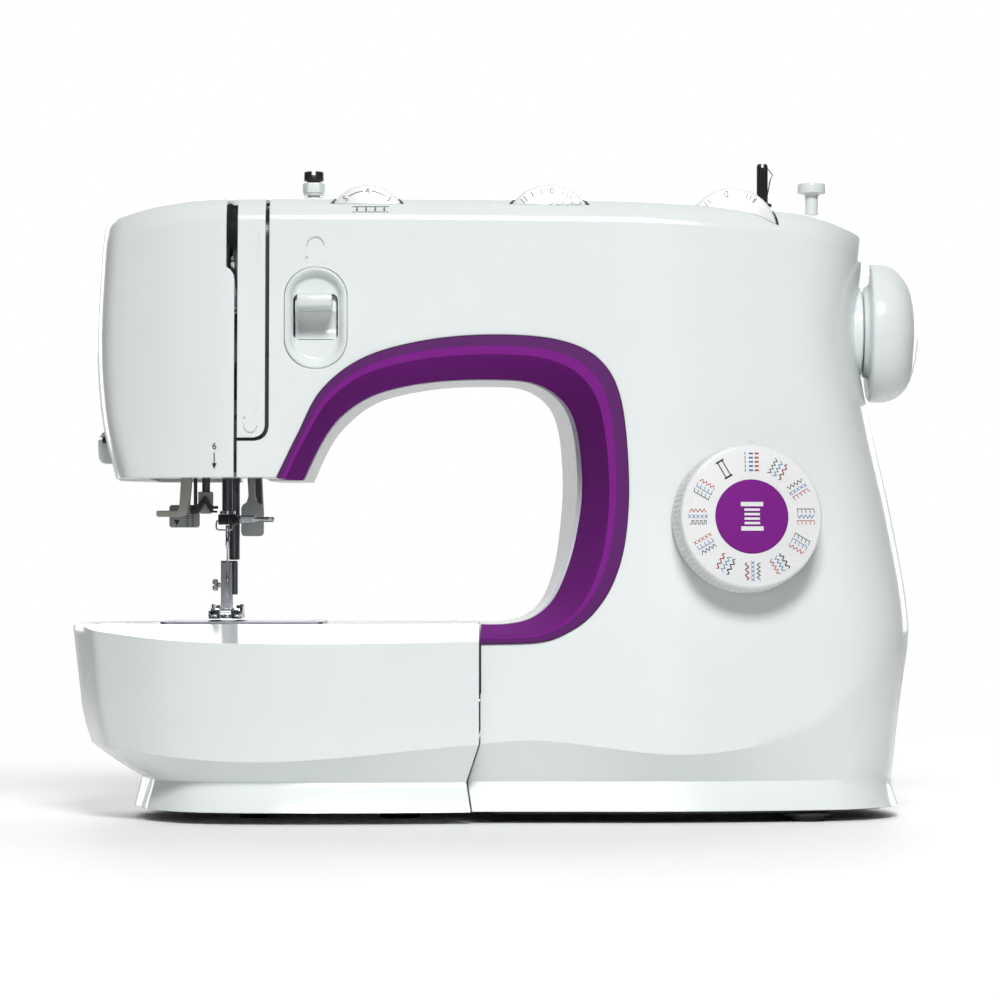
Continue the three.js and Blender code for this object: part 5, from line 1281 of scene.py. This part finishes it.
def make_side_fittings():
    outline = [(-184.9, 182.4), (-186.6, 182.3), (-187.8, 181.6), (-189.3, 179.4), (-189.8, 177.8),
               (-189.7, 172), (-189.4, 169.4), (-188.4, 167.6), (-187, 166.9), (-183, 166.9)]
    slit = [(-195, 180.1), (-195, 177.6), (-186.4, 178.7), (-186.4, 179.2)]
    cutter = boolean(swept("y", outline, 14, 26), [swept("y", slit, 10, 30)])
    piece(soften(cutter, 0.5, 3), "cutter_housing", "machine", "shell_small", "thread_cutter")
    blade = box((-188.2, -186.7), (16, 24), (178.8, 179.15))
    piece(blade, "cutter_blade", "machine", "steel")
    guard = soften(box((-187.6, -185.4), (12.6, 14), (176.6, 179.6)), 0.3)
    piece(guard, "cutter_guard", "machine", "black")
    low, high = mm("inlet_socket")
    socket = swept("x", rounded((low[1], high[1]), (low[2], high[2]), 2, 6), low[0], high[0])
    recess = swept("x", rounded((low[1] + 3, high[1] - 3), (low[2] + 3, high[2] - 3), 3.5, 6), 178, 205)
    piece(soften(boolean(socket, [recess]), 0.4), "inlet_housing", "machine", "black", "inlet_socket")
    for i, y in enumerate((30, 38)):
        pin = lathe("x", [(0, 176), (1.3, 176), (1.3, 186.4), (1.0, 187), (0, 187)], (0, y, 52), 24)
        piece(pin, "inlet_pin_%d" % i, "machine", "chrome")
    low, high = mm("power_switch")
    rocker = [(184, 73), (190.6, 72.6), (191.8, 73.2), (191.9, 75), (191.2, 79), (191, 81), (191.2, 83),
              (191.9, 87), (191.8, 88.8), (190.6, 89.4), (184, 89)]
    piece(soften(swept("y", rocker, low[1], high[1]), 0.5), "rocker", "switch", "black", "power_switch")

    def on_rocker(u, v, h):
        return ROCKER_FACE_X + h, u, v

    ring = [(34 + 1.8 * math.cos(TAU * i / 24), 76 + 1.8 * math.sin(TAU * i / 24)) for i in range(25)]
    marks = stroke(ring, 0.45) + stroke([(34, 84.4), (34, 88)], 0.5)
    piece(prism(marks, on_rocker, 0.05), "rocker_marks", "switch", "dial_white")
    low, high = mm("drop_feed_lever")
    knob = soften(swept("x", rounded((48.8, 56), (50, 60), 1.6, 6), low[0], low[0] + 6), 0.5, 3)
    tongue = box((-49, -45), (43.6, 50), (53.2, 56.8))
    piece(merged([knob, tongue]), "drop_feed_knob", "drop_lever", "black", "drop_feed_lever")
    for name in ("foot_front_left", "foot_front_middle", "foot_front_right", "foot_rear_left",
                 "foot_rear_right"):
        low, high = mm(name)
        x, y, r = (low[0] + high[0]) / 2, (low[1] + high[1]) / 2, (high[0] - low[0]) / 2 - 3
        pad = lathe("z", [(0, 0.5), (r - 4, 0.5), (r - 3.4, 0), (r - 1.2, 0), (r - 0.4, 0.3), (r - 0.1, 1),
                          (r, 2.2), (r + 0.4, 2.55), (r + 3, 2.6), (r + 3, 4), (0, 4)], (x, y, 0), 64)
        piece(pad, name + "_pad", "machine", "rubber", name)


def dress_frame():
    """Every CAD node that still shows takes the finish of its material slot."""
    finish_of = {slot: name for name, slot in reversed(list(SLOT.items()))}
    finish_of["shell"] = "shell_small"
    for entry in frame["record"]["subparts"]:
        mesh = frame["nodes"][entry["node"]].data
        mesh.materials.clear()
        mesh.materials.append(FINISHES[finish_of[entry["material_slot"]]])


# ------------------------------------------------------------------ stage, light and camera
CAMERA_AT = (0.002, -2.16, 0.1233)
LENS = 164.0
LIFT = 0.055


def make_stage():
    scene = bpy.context.scene
    camera = bpy.data.objects.new("camera", bpy.data.cameras.new("camera"))
    scene.collection.objects.link(camera)
    camera.location = CAMERA_AT
    camera.rotation_euler = (math.radians(90), 0, 0)
    camera.data.lens = LENS
    camera.data.shift_y = LIFT
    camera.data.clip_end = 30
    scene.camera = camera
    scene.view_settings.view_transform = "Standard"
    world = bpy.data.worlds.new("studio")
    scene.world = world
    world.use_nodes = True
    tree = world.node_tree
    tree.nodes.clear()
    place = add(tree, "ShaderNodeTexCoord").outputs["Generated"]
    split = add(tree, "ShaderNodeSeparateXYZ")
    tree.links.new(place, split.inputs[0])
    fall = ranged(tree, split.outputs["Z"], 0.02, 0.34, -0.2, 0.9)
    back = ranged(tree, split.outputs["Y"], 0.0, 0.7, 0.1, 0.8)
    aside = add(tree, "ShaderNodeMath", operation="ABSOLUTE")
    tree.links.new(split.outputs["X"], aside.inputs[0])
    middle = add(tree, "ShaderNodeMath", operation="MULTIPLY")
    tree.links.new(back, middle.inputs[0])
    tree.links.new(ranged(tree, aside.outputs[0], 1.0, 0.08, 0.35, 0.8), middle.inputs[1])
    both = add(tree, "ShaderNodeMath", operation="ADD")
    tree.links.new(fall, both.inputs[0])
    tree.links.new(middle.outputs[0], both.inputs[1])
    soft = add(tree, "ShaderNodeBackground")
    tree.links.new(both.outputs[0], soft.inputs["Strength"])
    plain = add(tree, "ShaderNodeBackground")
    plain.inputs["Strength"].default_value = 1.0
    plain.inputs["Color"].default_value = (1, 1, 1, 1)
    path = add(tree, "ShaderNodeLightPath")
    mix = add(tree, "ShaderNodeMixShader")
    tree.links.new(path.outputs["Is Camera Ray"], mix.inputs[0])
    tree.links.new(soft.outputs[0], mix.inputs[1])
    tree.links.new(plain.outputs[0], mix.inputs[2])
    tree.links.new(mix.outputs[0], add(tree, "ShaderNodeOutputWorld").inputs["Surface"])
    for name, at, size, power in (("key", (0.15, -1.7, 1.5), (0.6, 0.5), 38.0),
                                  ("front", (0.1, -2.6, 0.5), (1.0, 0.8), 2.0),
                                  ("rim_left", (-1.1, 1.6, 0.6), (0.5, 1.1), 4.0),
                                  ("rim_right", (1.1, 1.6, 0.6), (0.5, 1.1), 4.0),
                                  ("behind", (0.2, 1.3, 0.7), (1.6, 0.9), 8.0)):
        light = bpy.data.lights.new(name, "AREA")
        light.shape = "RECTANGLE"
        light.size, light.size_y = size
        light.energy = power
        lamp = bpy.data.objects.new(name, light)
        lamp.location = at
        lamp.rotation_euler = (Vector((0, 0, 0.12)) - Vector(at)).to_track_quat("-Z", "Y").to_euler()
        scene.collection.objects.link(lamp)
    rings = [0.0, 0.3, 0.6, 1.0, 1.6, 2.4]
    sides = 64
    verts = [(r * math.cos(TAU * k / sides), r * math.sin(TAU * k / sides),
              0) for r in rings for k in range(sides)]
    faces = [(i * sides + k, i * sides + (k + 1) % sides, (i + 1) * sides + (k + 1) % sides,
              (i + 1) * sides + k)
             for i in range(len(rings) - 1) for k in range(sides)]
    floor = bpy.data.objects.new("floor", bpy.data.meshes.new("floor"))
    floor.data.from_pydata(verts, [], faces)
    scene.collection.objects.link(floor)
    material = bpy.data.materials.new("pale_floor")
    material.use_nodes = True
    tree = material.node_tree
    shader = tree.nodes["Principled BSDF"]
    shader.inputs["Base Color"].default_value = (0.93, 0.93, 0.93, 1)
    shader.inputs["Specular IOR Level"].default_value = 0.12
    speck = noise_of(tree, add(tree, "ShaderNodeTexCoord").outputs["Object"], 6.0)
    tree.links.new(ranged(tree, speck.outputs["Fac"], 0.5, 0.54), shader.inputs["Roughness"])
    far = add(tree, "ShaderNodeVectorMath", operation="LENGTH")
    tree.links.new(add(tree, "ShaderNodeTexCoord").outputs["Object"], far.inputs[0])
    fade = ranged(tree, far.outputs["Value"], 1.0, 0.0, 0.32, 1.1)
    tree.links.new(fade, shader.inputs["Alpha"])
    floor.data.materials.append(material)


make_front_covers()
make_rear_cover()
make_trim()
make_free_arm()
make_table()
make_front_marks()
make_top_dials()
make_pattern_dial()
make_handwheel()
make_reverse_lever()
make_needle()
make_presser()
make_threader()
make_top_fittings()
make_side_fittings()
dress_frame()
make_stage()
